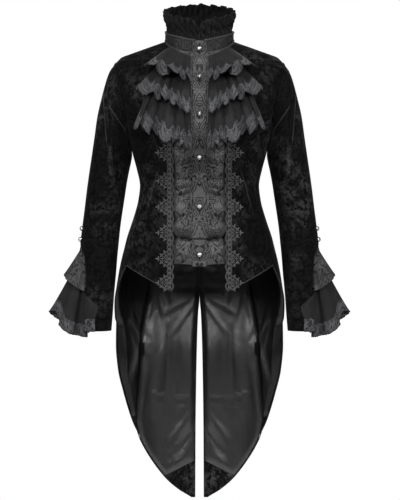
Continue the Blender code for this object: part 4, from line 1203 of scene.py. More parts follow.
# Wrinkles of the lining: from x, z to x, z, depth and width
LINING_RIPPLES = (
    (0, -516, 62, -508, 2.2, 3.4),
    (0, -528, 40, -521, 1.8, 3.2),
    (26, -536, 80, -552, 2.0, 3.6),
    (0, -545, 56, -533, 1.6, 3.2),
    (0, -560, 66, -554, 2.0, 3.6),
    (3, -574, 60, -592, 3.0, 5.5),
    (4, -582, 92, -628, 3.0, 6.5),
    (5, -590, 66, -676, 2.6, 7),
    (84, -574, 70, -618, -3.2, 5),
    (102, -566, 84, -660, 2.4, 7),
    (122, -570, 110, -720, 1.2, 9),
    (74, -652, 82, -800, -3.2, 8),
    (96, -700, 112, -880, 2.0, 16),
    (40, -630, 46, -880, 1.8, 15),
    (14, -640, 18, -760, -2.0, 6),
    (150, -806, 66, -836, -2.4, 4),
    (78, -838, 8, -824, -1.7, 4),
    (10, -852, 80, -950, 3.4, 13),
    (6, -892, 60, -968, -2.6, 9),
    (20, -962, 96, -1004, 1.6, 10),
    (112, -584, 142, -664, 4.2, 8),
    (160, -612, 128, -696, -3.8, 7),
    (170, -640, 140, -724, 3.8, 9),
    (150, -700, 172, -800, 3.2, 9),
    (176, -720, 182, -820, -2.6, 7),
    (128, -740, 140, -860, 2.4, 9),
)

linings = {}
count = CAD_TAIL_ROWS + LINING_ROWS_ABOVE_VENT
for panel_name, lining_name, first, last in (
    ("back", "lining", FACING_ROWS, FACING_ROWS + count + 1),
    ("side_back", "side_lining", 1, count - 1),
):
    grid, thick = panels[panel_name]
    rows = slice(first * FINE, last * FINE + 1)
    grid, thick = grid[rows], thick[rows]
    grid = grid - thick * (VELVET + LAYER_GAP)
    tail_rows = np.arange(len(grid)) < (2 * FINE if lining_name == "lining" else (CAD_TAIL_ROWS - 1) * FINE)
    turned_back = np.where(tail_rows, TURN_BACK, SEAM_GAP / 2)
    open_vent = np.where(grid[:, 0, 2] < VENT_TOP - 1, TURN_BACK, 0.0)
    grid = trimmed(grid, left=open_vent if lining_name == "lining" else None, right=turned_back)
    lift = creased(np.abs(grid[..., 0]), grid[..., 2], LINING_RIPPLES)
    lift = lift + LINING_BILLOW * near(grid[..., 2], LINING_BILLOW_Z, LINING_BILLOW_HALF_HEIGHT)
    across, along = lengths(grid, 1), lengths(grid, 0)
    inside = np.minimum(np.minimum(across, across[:, -1:] - across), np.minimum(along, along[-1:] - along))
    lift = np.clip(lift + LINING_LOOSE, 0, None) * np.clip(inside / LINING_HELD, 0, 1)
    outer = grid - thick * lift[..., None]
    linings[lining_name] = outer - thick * SATIN
    finish = satin if lining_name == "lining" else dimmed_side_satin
    for side, sign in SIDES.items():
        piece = sewn_shell(f"satin_{lining_name}_{side}", outer, linings[lining_name], finish, sign)
        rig.replaces(piece, f"{lining_name}_{side}")
        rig.slot(piece, "satin")
        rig.sheet(piece, held="hung", rests_on=[f"velvet_{panel_name}_{side}"], **as_cut(grid))


def thread_material():
    made, tree, shader = new_cloth("silk_thread", 0.45, shine=0.5)
    strand = speckle(tree, 3000, 1.0)
    dye(tree, shader, strand, (0.05, 0.05, 0.052), (0.12, 0.12, 0.125))
    return made


def tube(name, path, radius, finish, side=1, sides=8):
    """A cord along a path, round and closed at its ends."""
    ahead = unit(np.gradient(path, axis=0))
    first = unit(np.cross(ahead, np.where(np.abs(ahead[:, 1:2]) < 0.9, (0, 1.0, 0), (1.0, 0, 0))))
    second = np.cross(ahead, first)
    turn = np.linspace(0, math.tau, sides, endpoint=False)
    swell = np.full(len(path), radius)
    swell[[0, -1]] = radius * 0.35
    ring = first[:, None] * np.cos(turn)[:, None] + second[:, None] * np.sin(turn)[:, None]
    points = (path[:, None] + ring * swell[:, None, None]).reshape(-1, 3) * (side * MM, MM, MM)
    index = np.arange(len(points)).reshape(len(path), sides)
    mesh = bpy.data.meshes.new(name)
    mesh.from_pydata(points.tolist(), [], hoop_faces(index) + [index[0].tolist(), index[-1].tolist()])
    return piece_of(name, mesh, finish)


def joined(name, parts):
    """One piece of several."""
    bpy.ops.object.select_all(action="DESELECT")
    for part in parts:
        part.select_set(True)
    bpy.context.view_layer.objects.active = parts[0]
    bpy.ops.object.join()
    parts[0].name = name
    parts[0].data.name = name
    bpy.ops.object.select_all(action="DESELECT")
    return parts[0]


thread = thread_material()
STITCH_PITCH = 6.5
STITCH_LENGTH = 3.0
STITCH_INSET = 5.0

lining_face = linings["lining"]
seam_line = lining_face[:, 0] + unit(lining_face[:, 1] - lining_face[:, 0]) * STITCH_INSET
seam_line = seam_line[seam_line[:, 2] < VENT_TOP - 6]
run = lengths(seam_line[:, None], 0)[:, 0]
for side, sign in SIDES.items():
    stitches = []
    for start in np.arange(4, run[-1] - STITCH_LENGTH, STITCH_PITCH):
        places = start + np.linspace(0, STITCH_LENGTH, 4)
        path = np.stack([np.interp(places, run, seam_line[:, axis]) for axis in range(3)], axis=-1)
        path[:, 1] -= 0.2 + 0.5 * np.sin(np.linspace(0, math.pi, 4))
        stitches.append(tube(f"stitch_{side}", path, 0.35, thread, sign, sides=5))
    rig.slot(joined(f"vent_stitches_{side}", stitches), "satin")


# Piping along the hems: a corded satin edge from the lace, up the front's hem to the side seam, then
# down the tail's front edge, round its tip and up the vent. It is caught in the seam of velvet and facing.

PIPING_RADIUS = 0.9
PIPING_DROP = 0.3


def piping_material():
    made, tree, shader = new_cloth("satin_piping", 0.35, sheen=0.2, shine=0.5)
    strand = speckle(tree, 900, 2.0)
    dye(tree, shader, strand, (0.012, 0.012, 0.013), (0.045, 0.045, 0.047))
    return made


piping = piping_material()
front, side_front = panels["front"][0], panels["side_front"][0]
back, side_back = panels["back"][0], panels["side_back"][0]
tip_rows = 6 * FINE
hem = np.concatenate([front[0], side_front[0, 1:]])
tail_edge = np.concatenate([side_back[:TAIL_ROWS, -1][::-1], back[:tip_rows, -1][::-1]])
tail_edge = np.concatenate([tail_edge, back[0, ::-1][1:], back[1 : tip_rows + TAIL_ROWS, 0]])
for side, sign in SIDES.items():
    for name, path in (("hem", hem), ("tail", tail_edge)):
        piece = tube(f"{name}_piping_{side}", path - (0, 0, PIPING_DROP), PIPING_RADIUS, piping, sign)
        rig.slot(piece, "satin")


# Two-piece sleeves, set into the armholes.
# The same velvet: an upper sleeve over the outside of the arm and an under sleeve beneath it. The seam at
# the back of the arm opens into the cuff's vent. Creases fan from the armpit and cross at the elbow.

SLEEVE = Table(
    "step outer_x outer_z inner_x inner_z half_depth middle_y",
    [
        (0, 197, -41, 163, -215, 60, 2),
        (1, 205, -62, 162.5, -222, 63, 2),
        (2, 214.5, -90, 161, -231, 65, 2),
        (3, 225.5, -131, 159, -244, 66, 3),
        (4, 235, -172, 156.5, -262, 65, 4),
        (5, 241, -214, 158, -276, 63, 5),
        (6, 247, -255, 162, -296, 60, 6),
        (7, 253, -295, 167, -322, 58, 7),
        (8, 259, -338, 172, -355, 56, 7),
        (9, 264, -380, 177, -388, 54, 6),
        (10, 269, -420, 182, -424, 52, 4),
        (11, 274, -462, 186, -464, 50, 2),
        (12, 276, -490, 188.5, -490, 48, 0),
        (13, 277, -530, 191.5, -530, 47, -3),
        (14, 277, -580, 196, -580, 45, -6),
        (15, 277.5, -625, 199, -625, 44, -9),
        (16, 278, -663, 202, -663, 43, -11),
    ],
)
SLEEVE_SEAMS = Table(
    "step front vent_front vent_back",
    [
        (0, -55, 153, 153),
        (4, -62, 124, 124),
        (8, -65, 101, 101),
        (11, -65, 90, 90.5),
        (11.4, -65, 66, 108),
        (12, -65, 45, 128),
        (13, -65, 33, 138),
        (14, -65, 30, 142),
        (16, -65, 27, 145),
    ],
)
CAD_SLEEVE_STEPS = (0, 0.6, 1.3, 2.2, 3.2, 4.2, 5.2, 6.4, 7.6, 8.8, 10, 11, 11.4, 12, 13, 14.4, 16)
SLEEVE_FINE = 10
steps_key = np.linspace(0, len(CAD_SLEEVE_STEPS) - 1, (len(CAD_SLEEVE_STEPS) - 1) * SLEEVE_FINE + 1)
SLEEVE_STEPS = np.interp(steps_key, np.arange(len(CAD_SLEEVE_STEPS)), CAD_SLEEVE_STEPS)

# From angle, height to angle, height, depth and width
SLEEVE_CREASES = (
    (11, -158, -52, -214, 3.4, 3.0),
    (46, -128, 7, -240, 3.4, 3.0),
    (6, -246, 2, -312, 2.2, 4.0),
    (60, -95, 34, -200, -1.6, 7),
    (20, -118, -30, -190, -1.8, 7),
    (-2, -246, -6, -322, 1.6, 5),
    (-66, -232, 24, -282, -2.0, 8),
    (-66, -262, 10, -308, -1.5, 7),
    (-70, -330, 50, -362, -2.0, 8),
    (-60, -366, 36, -396, -1.7, 8),
    (70, -330, 20, -352, 1.5, 8),
    (60, -404, 0, -440, -1.3, 9),
    (-20, -440, -50, -560, 1.3, 11),
    (6, -470, 12, -640, 1.2, 12),
    (-40, -520, 20, -548, -1.2, 9),
    (110, -330, 210, -366, -2.0, 8),
    (150, -368, 262, -392, -1.8, 8),
    (120, -104, 176, -208, -2.0, 8),
    (150, -170, 250, -262, -2.1, 9),
    (236, -236, 180, -318, -1.6, 9),
    (190, -440, 250, -520, 1.3, 10),
    (170, -470, 176, -640, 1.4, 11),
    (240, -560, 200, -640, -1.2, 10),
)
MM_PER_DEGREE = 0.9
SLEEVE_MAP = 400.0
CAP_PUCKER = 0.7
UNDER_ARM_WIDTH = 24


def sleeve_point(turn, step):
    """A point of the sleeve, by the angle round it from the front over the outside, and the ring."""
    turn, step = np.broadcast_arrays(np.asarray(turn, float), np.asarray(step, float))
    outer = np.stack([SLEEVE.at("outer_x", step), SLEEVE.at("outer_z", step)], axis=-1)
    inner = np.stack([SLEEVE.at("inner_x", step), SLEEVE.at("inner_z", step)], axis=-1)
    middle, reach = (outer + inner) / 2, (outer - inner) / 2
    sine, cosine = np.sin(np.radians(turn)), np.cos(np.radians(turn))
    ring = middle + reach * sine[..., None]
    y = SLEEVE.at("middle_y", step) - SLEEVE.at("half_depth", step) * cosine
    points = np.stack([ring[..., 0], y, ring[..., 1]], axis=-1)
    rounding = np.clip(1 - step, 0, 1)[..., None]
    return points * (1 - rounding) + armhole(turn)[0] * rounding


def sleeve_grid(turns):
    """A length of sleeve through one row of angles for every ring."""
    rings = np.broadcast_to(SLEEVE_STEPS[:, None], turns.shape)
    across = sleeve_point(turns + 1, rings) - sleeve_point(turns - 1, rings)
    along = sleeve_point(turns, rings + 0.05) - sleeve_point(turns, np.maximum(rings - 0.05, 0))
    thick = unit(np.cross(across, along))
    middle = sleeve_point(turns, rings) - sleeve_point(turns + 180, rings)
    thick = np.where((thick * middle).sum(-1, keepdims=True) < 0, -thick, thick)
    thick[0] = armhole(turns[0])[1]
    return sleeve_point(turns, rings), unit(thick), turns


steps = SLEEVE_STEPS[:, None]
front_turn = SLEEVE_SEAMS.at("front", steps)
ring = np.unique(np.round(np.concatenate(list(ARM_TURNS.values())), 6))
ring = np.unique(np.concatenate([ring, (ring[1:] + ring[:-1]) / 2]))
upper = (ring[ring <= SLEEVE_SEAM_TURN + 0.1] - SIDE_SEAM_TURN) / (SLEEVE_SEAM_TURN - SIDE_SEAM_TURN)
under = (ring[ring >= SLEEVE_SEAM_TURN - 0.1] - SLEEVE_SEAM_TURN) / (360 + SIDE_SEAM_TURN - SLEEVE_SEAM_TURN)
vent_front = SLEEVE_SEAMS.at("vent_front", steps)
vent_back = np.maximum(vent_front, SLEEVE_SEAMS.at("vent_back", steps))
sleeves = {
    "upper_sleeve": sleeve_grid(front_turn + (vent_front - front_turn) * upper),
    "under_sleeve": sleeve_grid(vent_back + (front_turn + 360 - vent_back) * under),
}
creases = [(row[0] * MM_PER_DEGREE, row[1], row[2] * MM_PER_DEGREE, *row[3:]) for row in SLEEVE_CREASES]
for sleeve_name, (grid, thick, turns) in sleeves.items():
    normal = cloth_normals(grid, thick)
    lift = 0
    for shown_turns in (turns, turns - 360):
        lift = lift + creased(shown_turns * MM_PER_DEGREE, grid[..., 2], creases)
    down = lengths(grid, 0)
    lift = lift * np.clip(down / 30, 0, 1) + pressed_seams(grid, ("left", "right"), sink=0.9)
    lift = lift + CAP_PUCKER * near(down, 5, 4) * (1 + 0.35 * np.sin(turns * 1.1))
    for whole_turn in (0, 360):
        lift = lift + armpit(grid[..., 2], (turns + 90) % 360 - whole_turn, UNDER_ARM_WIDTH)
    outer = eased_shoulder(trimmed(grid) + normal * lift[..., None])
    inner = outer - thick * VELVET
    across = lengths(outer, 1)
    across = across - across[:, across.shape[1] // 2, None] + SLEEVE_MAP
    along = -outer[..., 2]
    for side, sign in SIDES.items():
        piece = sewn_shell(f"velvet_{sleeve_name}_{side}", outer, inner, sleeve_damask, sign, across, along)
        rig.replaces(piece, f"{sleeve_name}_{side}")
        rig.slot(piece, "velvet")
        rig.sheet(piece, held="hung", rests_on=[f"velvet_front_{side}"], **as_cut(grid))


# Ruched front panel, its button stand and the collar band.
# Charcoal jacquard with a paisley figure, gathered into soft puffs between the stand and the velvet's
# edge; the stand is folded, topstitched along both edges and runs up over the collar band.

BROCADE = 1.2
PLACKET_HALF_WIDTH = 16.0
PLACKET_LIFT = 2.6
PLACKET_BOTTOM = -515.0
PLACKET_TOP = -6.0
VEST_PUFF = 11.5
VEST_SAG = 8.0
VEST_RUCHED_FROM = -190.0
HIDDEN_CREASES = 3
PUFF_ROWS = 16
VEST_COLUMNS = 8
FRONT_BUTTONS = (-25, -93, -177, -272, -382, -489)

CREASES = Table(
    "number inner_z outer_z deep",
    [
        (0, -36, -24, 0.9),
        (1, -96, -90, 0.9),
        (2, -150, -142, 0.9),
        (3, -202, -192, 0.9),
        (4, -238, -254, 0.7),
        (5, -280, -286, 0.3),
        (6, -318, -308, 0.3),
        (7, -346, -358, 0.5),
        (8, -396, -412, 0.35),
        (9, -454, -442, 1.0),
        (10, -512, -508, 0.5),
    ],
)
VEST_ACROSS = Table(
    "x puff flat",
    [
        (10, 0, -1.5),
        (17.5, 0.15, 0.6),
        (28, 0.8, 0.1),
        (41, 1, 0.1),
        (50, 0.9, -0.6),
        (55.5, 0.55, -1.9),
        (60, 0, -4.8),
        (66, 0, -4.8),
    ],
)
# Where the cloth is drawn under between two puffs, beside the velvet's edge: z, half height and depth
HOLLOWS = ((-310, 27, 11.0), (-408, 15, 9.5), (-455, 11, 11.0), (-235, 12, 8.0))
HOLLOW_X = 59
HOLLOW_HALF_WIDTH = 8
GATHERS_END_X = 62
# Smaller creases that run out of the gathers: from x, z to x, z, depth and width
GATHERS = (
    (59, -258, 56, -332, -5.0, 4.0),
    (60, -388, 55, -420, -4.6, 4.0),
    (6, -458, 68, -446, -8.5, 4.6),
    (8, -437, 66, -428, 3.6, 8.0),
    (30, -340, 62, -352, -3.0, 4.0),
    (60, -440, 54, -468, -4.6, 4.0),
    (18, -336, 57, -344, -2.6, 3.2),
    (30, -262, 48, -318, 2.4, 8.0),
    (18, -206, 44, -222, -1.6, 3.2),
    (58, -204, 36, -214, -1.3, 3.0),
    (18, -226, 40, -240, 1.2, 2.8),
    (58, -240, 30, -262, -1.8, 3.2),
    (18, -250, 38, -262, -1.5, 3.0),
    (18, -268, 50, -274, 1.0, 3.0),
    (58, -268, 32, -296, -1.6, 3.2),
    (18, -292, 42, -304, -1.5, 3.0),
    (58, -298, 34, -330, -1.3, 3.4),
    (18, -326, 46, -334, 1.2, 2.8),
    (58, -334, 30, -366, -1.8, 3.4),
    (18, -360, 44, -388, -1.8, 3.6),
    (58, -376, 34, -386, 1.2, 3.0),
    (18, -404, 50, -430, -1.6, 3.8),
    (58, -424, 34, -462, -1.8, 3.8),
    (18, -444, 40, -486, -1.4, 3.8),
    (56, -466, 30, -502, 1.3, 3.6),
    (22, -500, 54, -486, -1.2, 3.4),
)


PAISLEY_REPEAT = (74, 98)
BROCADE_SCROLL_PITCH = 25
# The drops of one repeat: its middle, its turn, its half length and its half width
PAISLEYS = (
    ((15, -12), 118, 20, 15),
    ((12, 27), 62, 15, 12),
    ((24, -37), 20, 10.5, 8),
    ((26, 14), 250, 10, 7.5),
)


def drop_shape(x, y, middle, degrees, long, wide):
    """Above 0 inside a drop whose tip curls over, in millimetres from its edge."""
    x, y = turned(x, y, degrees, middle)
    along = x / long
    y = y - (along.over(0.0) * along) * wide * 0.75
    swell = ((along * along) * -1.0 + 1.0).over(0.0).work("SQRT")
    return swell * (along * -0.42 + 0.62) * wide - abs(y)


def paisley_brocade(name, grade):
    """Grained jacquard, with drops and scrolls drawn on it in thin darker lines."""
    made, tree, shader = new_cloth(name, 0.55, sheen=0.05, sheen_roughness=0.4, shine=0.3)
    across, along = cloth_places(tree)
    x, y = half_drop(across, along, *PAISLEY_REPEAT)
    x = abs(x)
    drawn = contours(tree, abs(across), along, BROCADE_SCROLL_PITCH, 5.0, 0.66)
    for middle, degrees, long, wide in PAISLEYS:
        shape = drop_shape(x, y, middle, degrees, long, wide)
        rings = ((shape - 0.2).sine(5.0, 0.9) - 0.35).filled(0.6)
        inside = (shape + 1.0).filled(0.5)
        drawn = drawn * inside.flipped() + rings * inside
    grain = speckle(tree, 620, 3.0, stretch=(1, 1, 0.4), rough=0.7)
    rib = across.sine(1.3) * 0.06
    uneven = speckle(tree, 26, 2.0)
    shade = drawn * -0.95 + grain * 1.4 + rib + uneven * 1.2 - 0.5
    dark, light = 0.003 * grade, 0.115 * grade
    dye(tree, shader, shade, (dark, dark, dark), (light, light, light * 1.03))
    emboss(tree, shader, drawn * -0.55 + grain * 0.35 + rib, 0.4)
    return made


brocade = paisley_brocade("paisley_brocade", 0.85)
cuff_brocade = paisley_brocade("cuff_brocade", 0.6)


def vest_grid():
    """The ruched front at full fineness, with each puff sagging over the crease below it."""
    columns = VEST_ACROSS.rows[:, 0]
    key = np.linspace(0, len(columns) - 1, (len(columns) - 1) * VEST_COLUMNS + 1)
    across = np.interp(key, np.arange(len(columns)), columns)
    part = (across - across[0]) / (across[-1] - across[0])
    last = len(CREASES.rows) - 1
    hidden = np.linspace(0, HIDDEN_CREASES, HIDDEN_CREASES * FINE + 1)[:-1]
    shown = np.linspace(HIDDEN_CREASES, last, (last - HIDDEN_CREASES) * PUFF_ROWS + 1)
    number = np.concatenate([hidden, shown])[::-1, None]
    inner, outer = CREASES.at("inner_z", number), CREASES.at("outer_z", number)
    z = inner + (outer - inner) * part - VEST_SAG * np.sin(math.pi * part) * np.sin(number * 1.9) ** 2
    neck = neckline(np.linspace(0, 90, 361))
    z[-1] = np.interp(across, neck[:, 0], neck[:, 2])
    x = np.broadcast_to(across, z.shape)
    full = 1 - CREASES.at("deep", np.round(number)) * (1 - np.sin(math.pi * (number % 1) ** 1.2) ** 0.7)
    calm = np.clip((VEST_RUCHED_FROM - z) / 60, 0.08, 1)
    puff = VEST_ACROSS.at("puff", across) * calm
    ripple = 0.55 * np.sin(number * 2 * math.pi * 2.5 + part * 5 + np.sin(number * 1.7) * 2)
    lift = VEST_ACROSS.at("flat", across) + VEST_PUFF * puff * full + ripple * puff
    lift = lift + creased(x, z, GATHERS) * np.clip((GATHERS_END_X - x) / 4, 0, 1)
    for hollow_z, hollow_half, deep in HOLLOWS:
        lift = lift - deep * near(z, hollow_z, hollow_half) * near(x, HOLLOW_X, HOLLOW_HALF_WIDTH)
    thick = outward(face, x, z)
    return face(x, z) + thick * lift[..., None], thick


def more_rows(grid, times):
    """The same sheet with more rows, each between two of its own."""
    rows = len(grid)
    key = np.linspace(0, rows - 1, (rows - 1) * times + 1)
    low = np.minimum(key.astype(int), rows - 2)
    share = (key - low)[:, None, None]
    return grid[low] * (1 - share) + grid[low + 1] * share


vest, vest_thick = vest_grid()
vest_outer = trimmed(vest)
vest_inner = vest_outer - vest_thick * BROCADE
for side, sign in SIDES.items():
    piece = sewn_shell(f"ruched_front_{side}", vest_outer, vest_inner, brocade, sign)
    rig.replaces(piece, f"vest_{side}")
    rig.slot(piece, "brocade")
    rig.sheet(piece, held="gathered", rests_on=[f"velvet_front_{side}"], **as_cut(vest))

PLACKET_COLUMNS = 33
STITCH_LINE = 13.2
BUTTON_PULL = 1.0


def placket_grid():
    """The button stand: up the centre front and over the collar band, dimpled under each button."""
    low = np.linspace(PLACKET_BOTTOM, -62, 14)
    z = np.concatenate([low, [-44, -34, PLACKET_TOP]])
    x = np.linspace(-PLACKET_HALF_WIDTH, PLACKET_HALF_WIDTH, PLACKET_COLUMNS)
    grid_x, grid_z = np.broadcast_arrays(x, z[:, None])
    grid = face(grid_x, grid_z)
    ring = neckline(np.degrees(np.arcsin(x / NECK_HALF_WIDTH)), grow=1.6)
    grid[..., 1] = np.where(grid_z > -60, np.minimum(ring[:, 1], grid[..., 1]), grid[..., 1])
    grid[-2:, :, 1] = ring[:, 1]
    grid = more_rows(grid, 12)
    x, z = grid[..., 0], grid[..., 2]
    lift = PLACKET_LIFT - 0.3 * near(np.abs(x), STITCH_LINE, 0.9)
    lift -= 0.9 * np.clip((np.abs(x) - PLACKET_HALF_WIDTH + 1.2) / 1.2, 0, 1) ** 2
    lift += 0.35 * np.sin(z / 19 + np.sin(z / 41) * 2) * np.sign(x) * np.abs(x / PLACKET_HALF_WIDTH) ** 2
    for button_z in FRONT_BUTTONS:
        across, up = x / 10.0, (z - button_z) / 8.0
        lift -= BUTTON_PULL * np.exp(-(across**2) - up**2)
        drawn = np.exp(-((np.abs(z - button_z - np.abs(x) * 0.5) / 2.2) ** 2))
        lift += 0.4 * drawn * np.clip(1 - across**2, 0, 1)
    thick = np.broadcast_to(np.array([0.0, -1.0, 0.0]), grid.shape)
    return grid + thick * lift[..., None], thick


stand, stand_thick = placket_grid()
middle = lengths(stand, 1) - lengths(stand, 1)[:, -1:] / 2
piece = sewn_shell("button_stand", stand, stand - stand_thick * BROCADE, brocade, across=middle)
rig.replaces(piece, "placket")
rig.slot(piece, "brocade")
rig.sheet(piece, held="hung", rests_on=["ruched_front_left", "ruched_front_right"], **as_cut(stand, 0))


def out_of_neck(angles):
    """Level unit vectors away from the neck, by the angle from the centre front."""
    turn = np.radians(angles)
    return np.stack([np.sin(turn), -np.cos(turn), np.zeros_like(turn)], axis=-1)


BAND_ROWS = 9
BAND_COLUMNS = 32 * 6 + 1
BAND_EASE = 0.4

band_angles = np.linspace(5.0, 355.0, BAND_COLUMNS)
band_low, band_high = (neckline(band_angles, column, BAND_EASE) for column in ("seam_z", "band_top"))
band = band_low + (band_high - band_low) * np.linspace(0, 1, BAND_ROWS)[:, None, None]
band = band + (0, 0, SEAM_GAP) * np.linspace(1, 0, BAND_ROWS)[:, None, None]
band_out = np.broadcast_to(out_of_neck(band_angles), band.shape)
bowed = np.sin(np.linspace(0, math.pi, BAND_ROWS))[:, None]
swell = 0.5 * bowed + 0.25 * np.sin(np.radians(band_angles) * 11)
band_outer = band + band_out * (swell * bowed)[..., None]
band_brocade = paisley_brocade("band_brocade", 0.27)
piece = sewn_shell("stand_collar", band_outer, band - band_out * BROCADE, band_brocade)
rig.replaces(piece, "collar_band")
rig.slot(piece, "brocade")
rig.sheet(piece, held="stretched", rests_on=["velvet_back_left", "velvet_back_right"], **as_cut(band, 2.0))


def cord_lace(name, grade):
    """Corded lace: close satin stitches round raised motifs."""
    made, tree, shader = new_cloth(name, 0.6, sheen=0.05, shine=0.3)
    stitch = speckle(tree, 1900, 2.0, stretch=(1, 1, 0.5))
    broad = speckle(tree, 60, 2.0)
    shade = stitch * 0.7 + broad * 0.4 - 0.05
    dye(tree, shader, shade, (0.015 * grade,) * 3, (0.15 * grade,) * 3)
    emboss(tree, shader, stitch, 0.35)
    return made


lace = cord_lace("cord_lace", 1.15)
fine_lace = cord_lace("fine_lace", 0.65)
EDGING_PITCH = 5.0
EDGING_HEIGHT = 2.6
EDGING_LIFT = 0.7
EDGING_THICK = 0.7

edging_angles = np.linspace(8.0, 352.0, 97 * 9 + 1)
bead_run = np.radians(edging_angles) * NECK_HALF_WIDTH / EDGING_PITCH
scallop = np.abs(np.sin(math.pi * bead_run))
for edging_name, column, way in (("lower", "seam_z", 1), ("upper", "band_top", -1)):
    base, out = neckline(edging_angles, column, BAND_EASE), out_of_neck(edging_angles)
    rows = []
    for share in np.linspace(0, 1, 7):
        reach = (-0.6 + (EDGING_HEIGHT + 1.3 * scallop) * share) * way
        swell = EDGING_LIFT + 0.6 * np.sin(math.pi * min(share * 1.3, 1)) * (0.4 + 0.6 * scallop)
        rows.append(base + (0, 0, 1) * reach[:, None] + out * (swell + EDGING_THICK)[:, None])
    rows = np.stack(rows)
    outs = np.broadcast_to(out, rows.shape)
    piece = sewn_shell(f"collar_edging_{edging_name}", rows, rows - outs * EDGING_THICK, fine_lace)
    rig.slot(piece, "lace")


# Frills: the pleated collar frill, three jabot tiers a side and two cuff frills a side.
# Charcoal chiffon, cut in long strips, with a narrow lace sewn to each hem; they are gathered or pleated
# where they are sewn on and flare into flutes below. The upper cuff frill is of the front's brocade.

CHIFFON = 1.0
HEM_SCALLOP = 1.3
SCALLOPS_A_WAVE = 9
GATHER_DEPTH = 0.45

FRILL_WAVES = 34
FRILL_SWING = (0.45, 1.5)
FRILL_LEVELS = Table("up lean", [(0, -2.2), (0.35, -3.0), (0.7, 1.0), (1, 0)])
FRILL_ROOT = 5.0
CRUMPLE = 1.5
RIM_WAVE = 1.6
RIM_DRAWN_IN = 5.0
BACK_DIP = 6.0
BACK_DIP_HALF_ANGLE = 55
FRILL_INSET = 2.2

JABOT = {
    "upper": Table(
        "across top_x top_z hem_x hem_z",
        [
            (0, 20, -42, 19, -112),
            (0.25, 33, -38, 40, -106),
            (0.5, 46, -32, 62, -102),
            (0.75, 58, -25, 90, -88),
            (1, 70, -18, 118, -74),
        ],
    ),
    "middle": Table(
        "across top_x top_z hem_x hem_z",
        [
            (0, 20, -82, 18, -178),
            (0.25, 36, -78, 42, -166),
            (0.5, 54, -70, 70, -150),
            (0.75, 70, -58, 102, -139),
            (1, 82, -46, 134, -122),
        ],
    ),
    "lower": Table(
        "across top_x top_z hem_x hem_z",
        [
            (0, 20, -140, 17, -250),
            (0.25, 42, -132, 46, -236),
            (0.5, 64, -121, 80, -222),
            (0.75, 86, -105, 110, -209),
            (1, 102, -88, 140, -192),
        ],
    ),
}
JABOT_WAVES = {"upper": 3, "middle": 4, "lower": 5}
JABOT_LIFT = {"upper": (0.8, 20.0), "middle": (0.8, 13.0), "lower": (0.8, 5.5)}
JABOT_SWING = (0.2, 1.7)
JABOT_UNEVEN = {"upper": 0.5, "middle": -0.6, "lower": 0.55}
JABOT_FLUTE = 0.65
JABOT_TUCK = 0.8
JABOT_TUCK_WIDTH = 0.05
JABOT_ZIGZAG = 5.5
JABOT_SAMPLES = 36
JABOT_ROWS = 30

CUFF_APEX = {"upper": (262.0, 4.0, -458.0), "lower": (257.0, 3.0, -458.0)}
CUFF_FRILL = {
    "upper": Table(
        "across reach swing y",
        [(0, 113, -3, -28), (0.25, 108, 9, -24), (0.5, 82, 27, 2), (0.75, 104, 13, 22), (1, 110, -3, 25)],
    ),
    "lower": Table(
        "across reach swing y",
        [
            (0, 218, -0.5, -32),
            (0.25, 215, 8, -32),
            (0.5, 181, 27, 2),
            (0.75, 205, 13, 20),
            (1, 211, -0.5, 24),
        ],
    ),
}
CUFF_WAVES = {"upper": 3, "lower": 4}
CUFF_SWING = {"upper": 0.9, "lower": 1.2}
CUFF_ROOT_STEP = 10.9
CUFF_ROOT_TURNS = (85, 94)
CUFF_FIRST_ROW = {"upper": 0.3, "lower": 0.18}
CUFF_BULGE = {"upper": 7.0, "lower": 0.0}
CUFF_ROOT_GAP = {"upper": 1.3, "lower": 3.2}
CUFF_PLEAT = 0.55
CUFF_SAMPLES = 36
CUFF_ROWS = 30


def laced_chiffon(name, band, grade=1.0, crinkle=0.0):
    """Smooth chiffon whose hem carries a band of flower lace, band millimetres deep."""
    made, tree, shader = new_cloth(name, 0.72, sheen=0.06, sheen_roughness=0.35, shine=0.2)
    x, y = cloth_places(tree)
    crepe = speckle(tree, 2300, 2.0)
    cloudy = speckle(tree, 22, 2.0)
    plain = crepe * 0.1 + cloudy * 0.2
    cell_x, cell_y = half_drop(x, y, band * 0.8, band)
    flower = bloom(cell_x, cell_y, (0, 0), band * 0.36, 5)
    scrolls = contours(tree, x, y, 13, 4.0, 0.7)
    net = (x + y).sine(1.7) * (x - y).sine(1.7)
    edge = (y - 1.2).line(1.6, 0.6).over((y - band).line(1.6, 0.5))
    drawn = flower * (scrolls * -0.6 + 1.0)
    threads = drawn * 0.35 - scrolls * 0.7 - edge * 0.7 + net * 0.1 + crepe * 0.3 + 0.5
    in_band = (y * -1.0 + band + cloudy * 12 - 6).filled(2.5)
    shade = plain * in_band.flipped() + threads * in_band
    dark, light = 0.004 * grade, 0.115 * grade
    dye(tree, shader, shade, (dark, dark, dark), (light, light, light * 1.06))
    crease_lines = (x + speckle(tree, 40, 2.0) * 9).sine(5.5) * crinkle
    emboss(tree, shader, (drawn * 0.9 + net * 0.2) * in_band + crepe * 0.12 + crease_lines, 0.45)
    return made


def meander(waves, swing, samples, uneven=0.0):
    """A gathered edge seen from above, as a curve whose heading swings like a pendulum: how far along and
    how far out each sample lies, both in lengths of the gathered edge."""
    fine = 8
    s = np.linspace(0, 1, waves * samples * fine + 1)
    phase = s + uneven * np.sin(2 * math.pi * s) / (2 * math.pi)
    heading = swing * np.cos(2 * math.pi * waves * phase)
    steps = np.stack([np.cos(heading), np.sin(heading)], axis=-1)
    path = np.concatenate([[[0, 0]], np.cumsum((steps[1:] + steps[:-1]) / 2, axis=0)])
    path = path[::fine] / path[-1, 0]
    return path[:, 0], path[:, 1] - path[:, 1].min()


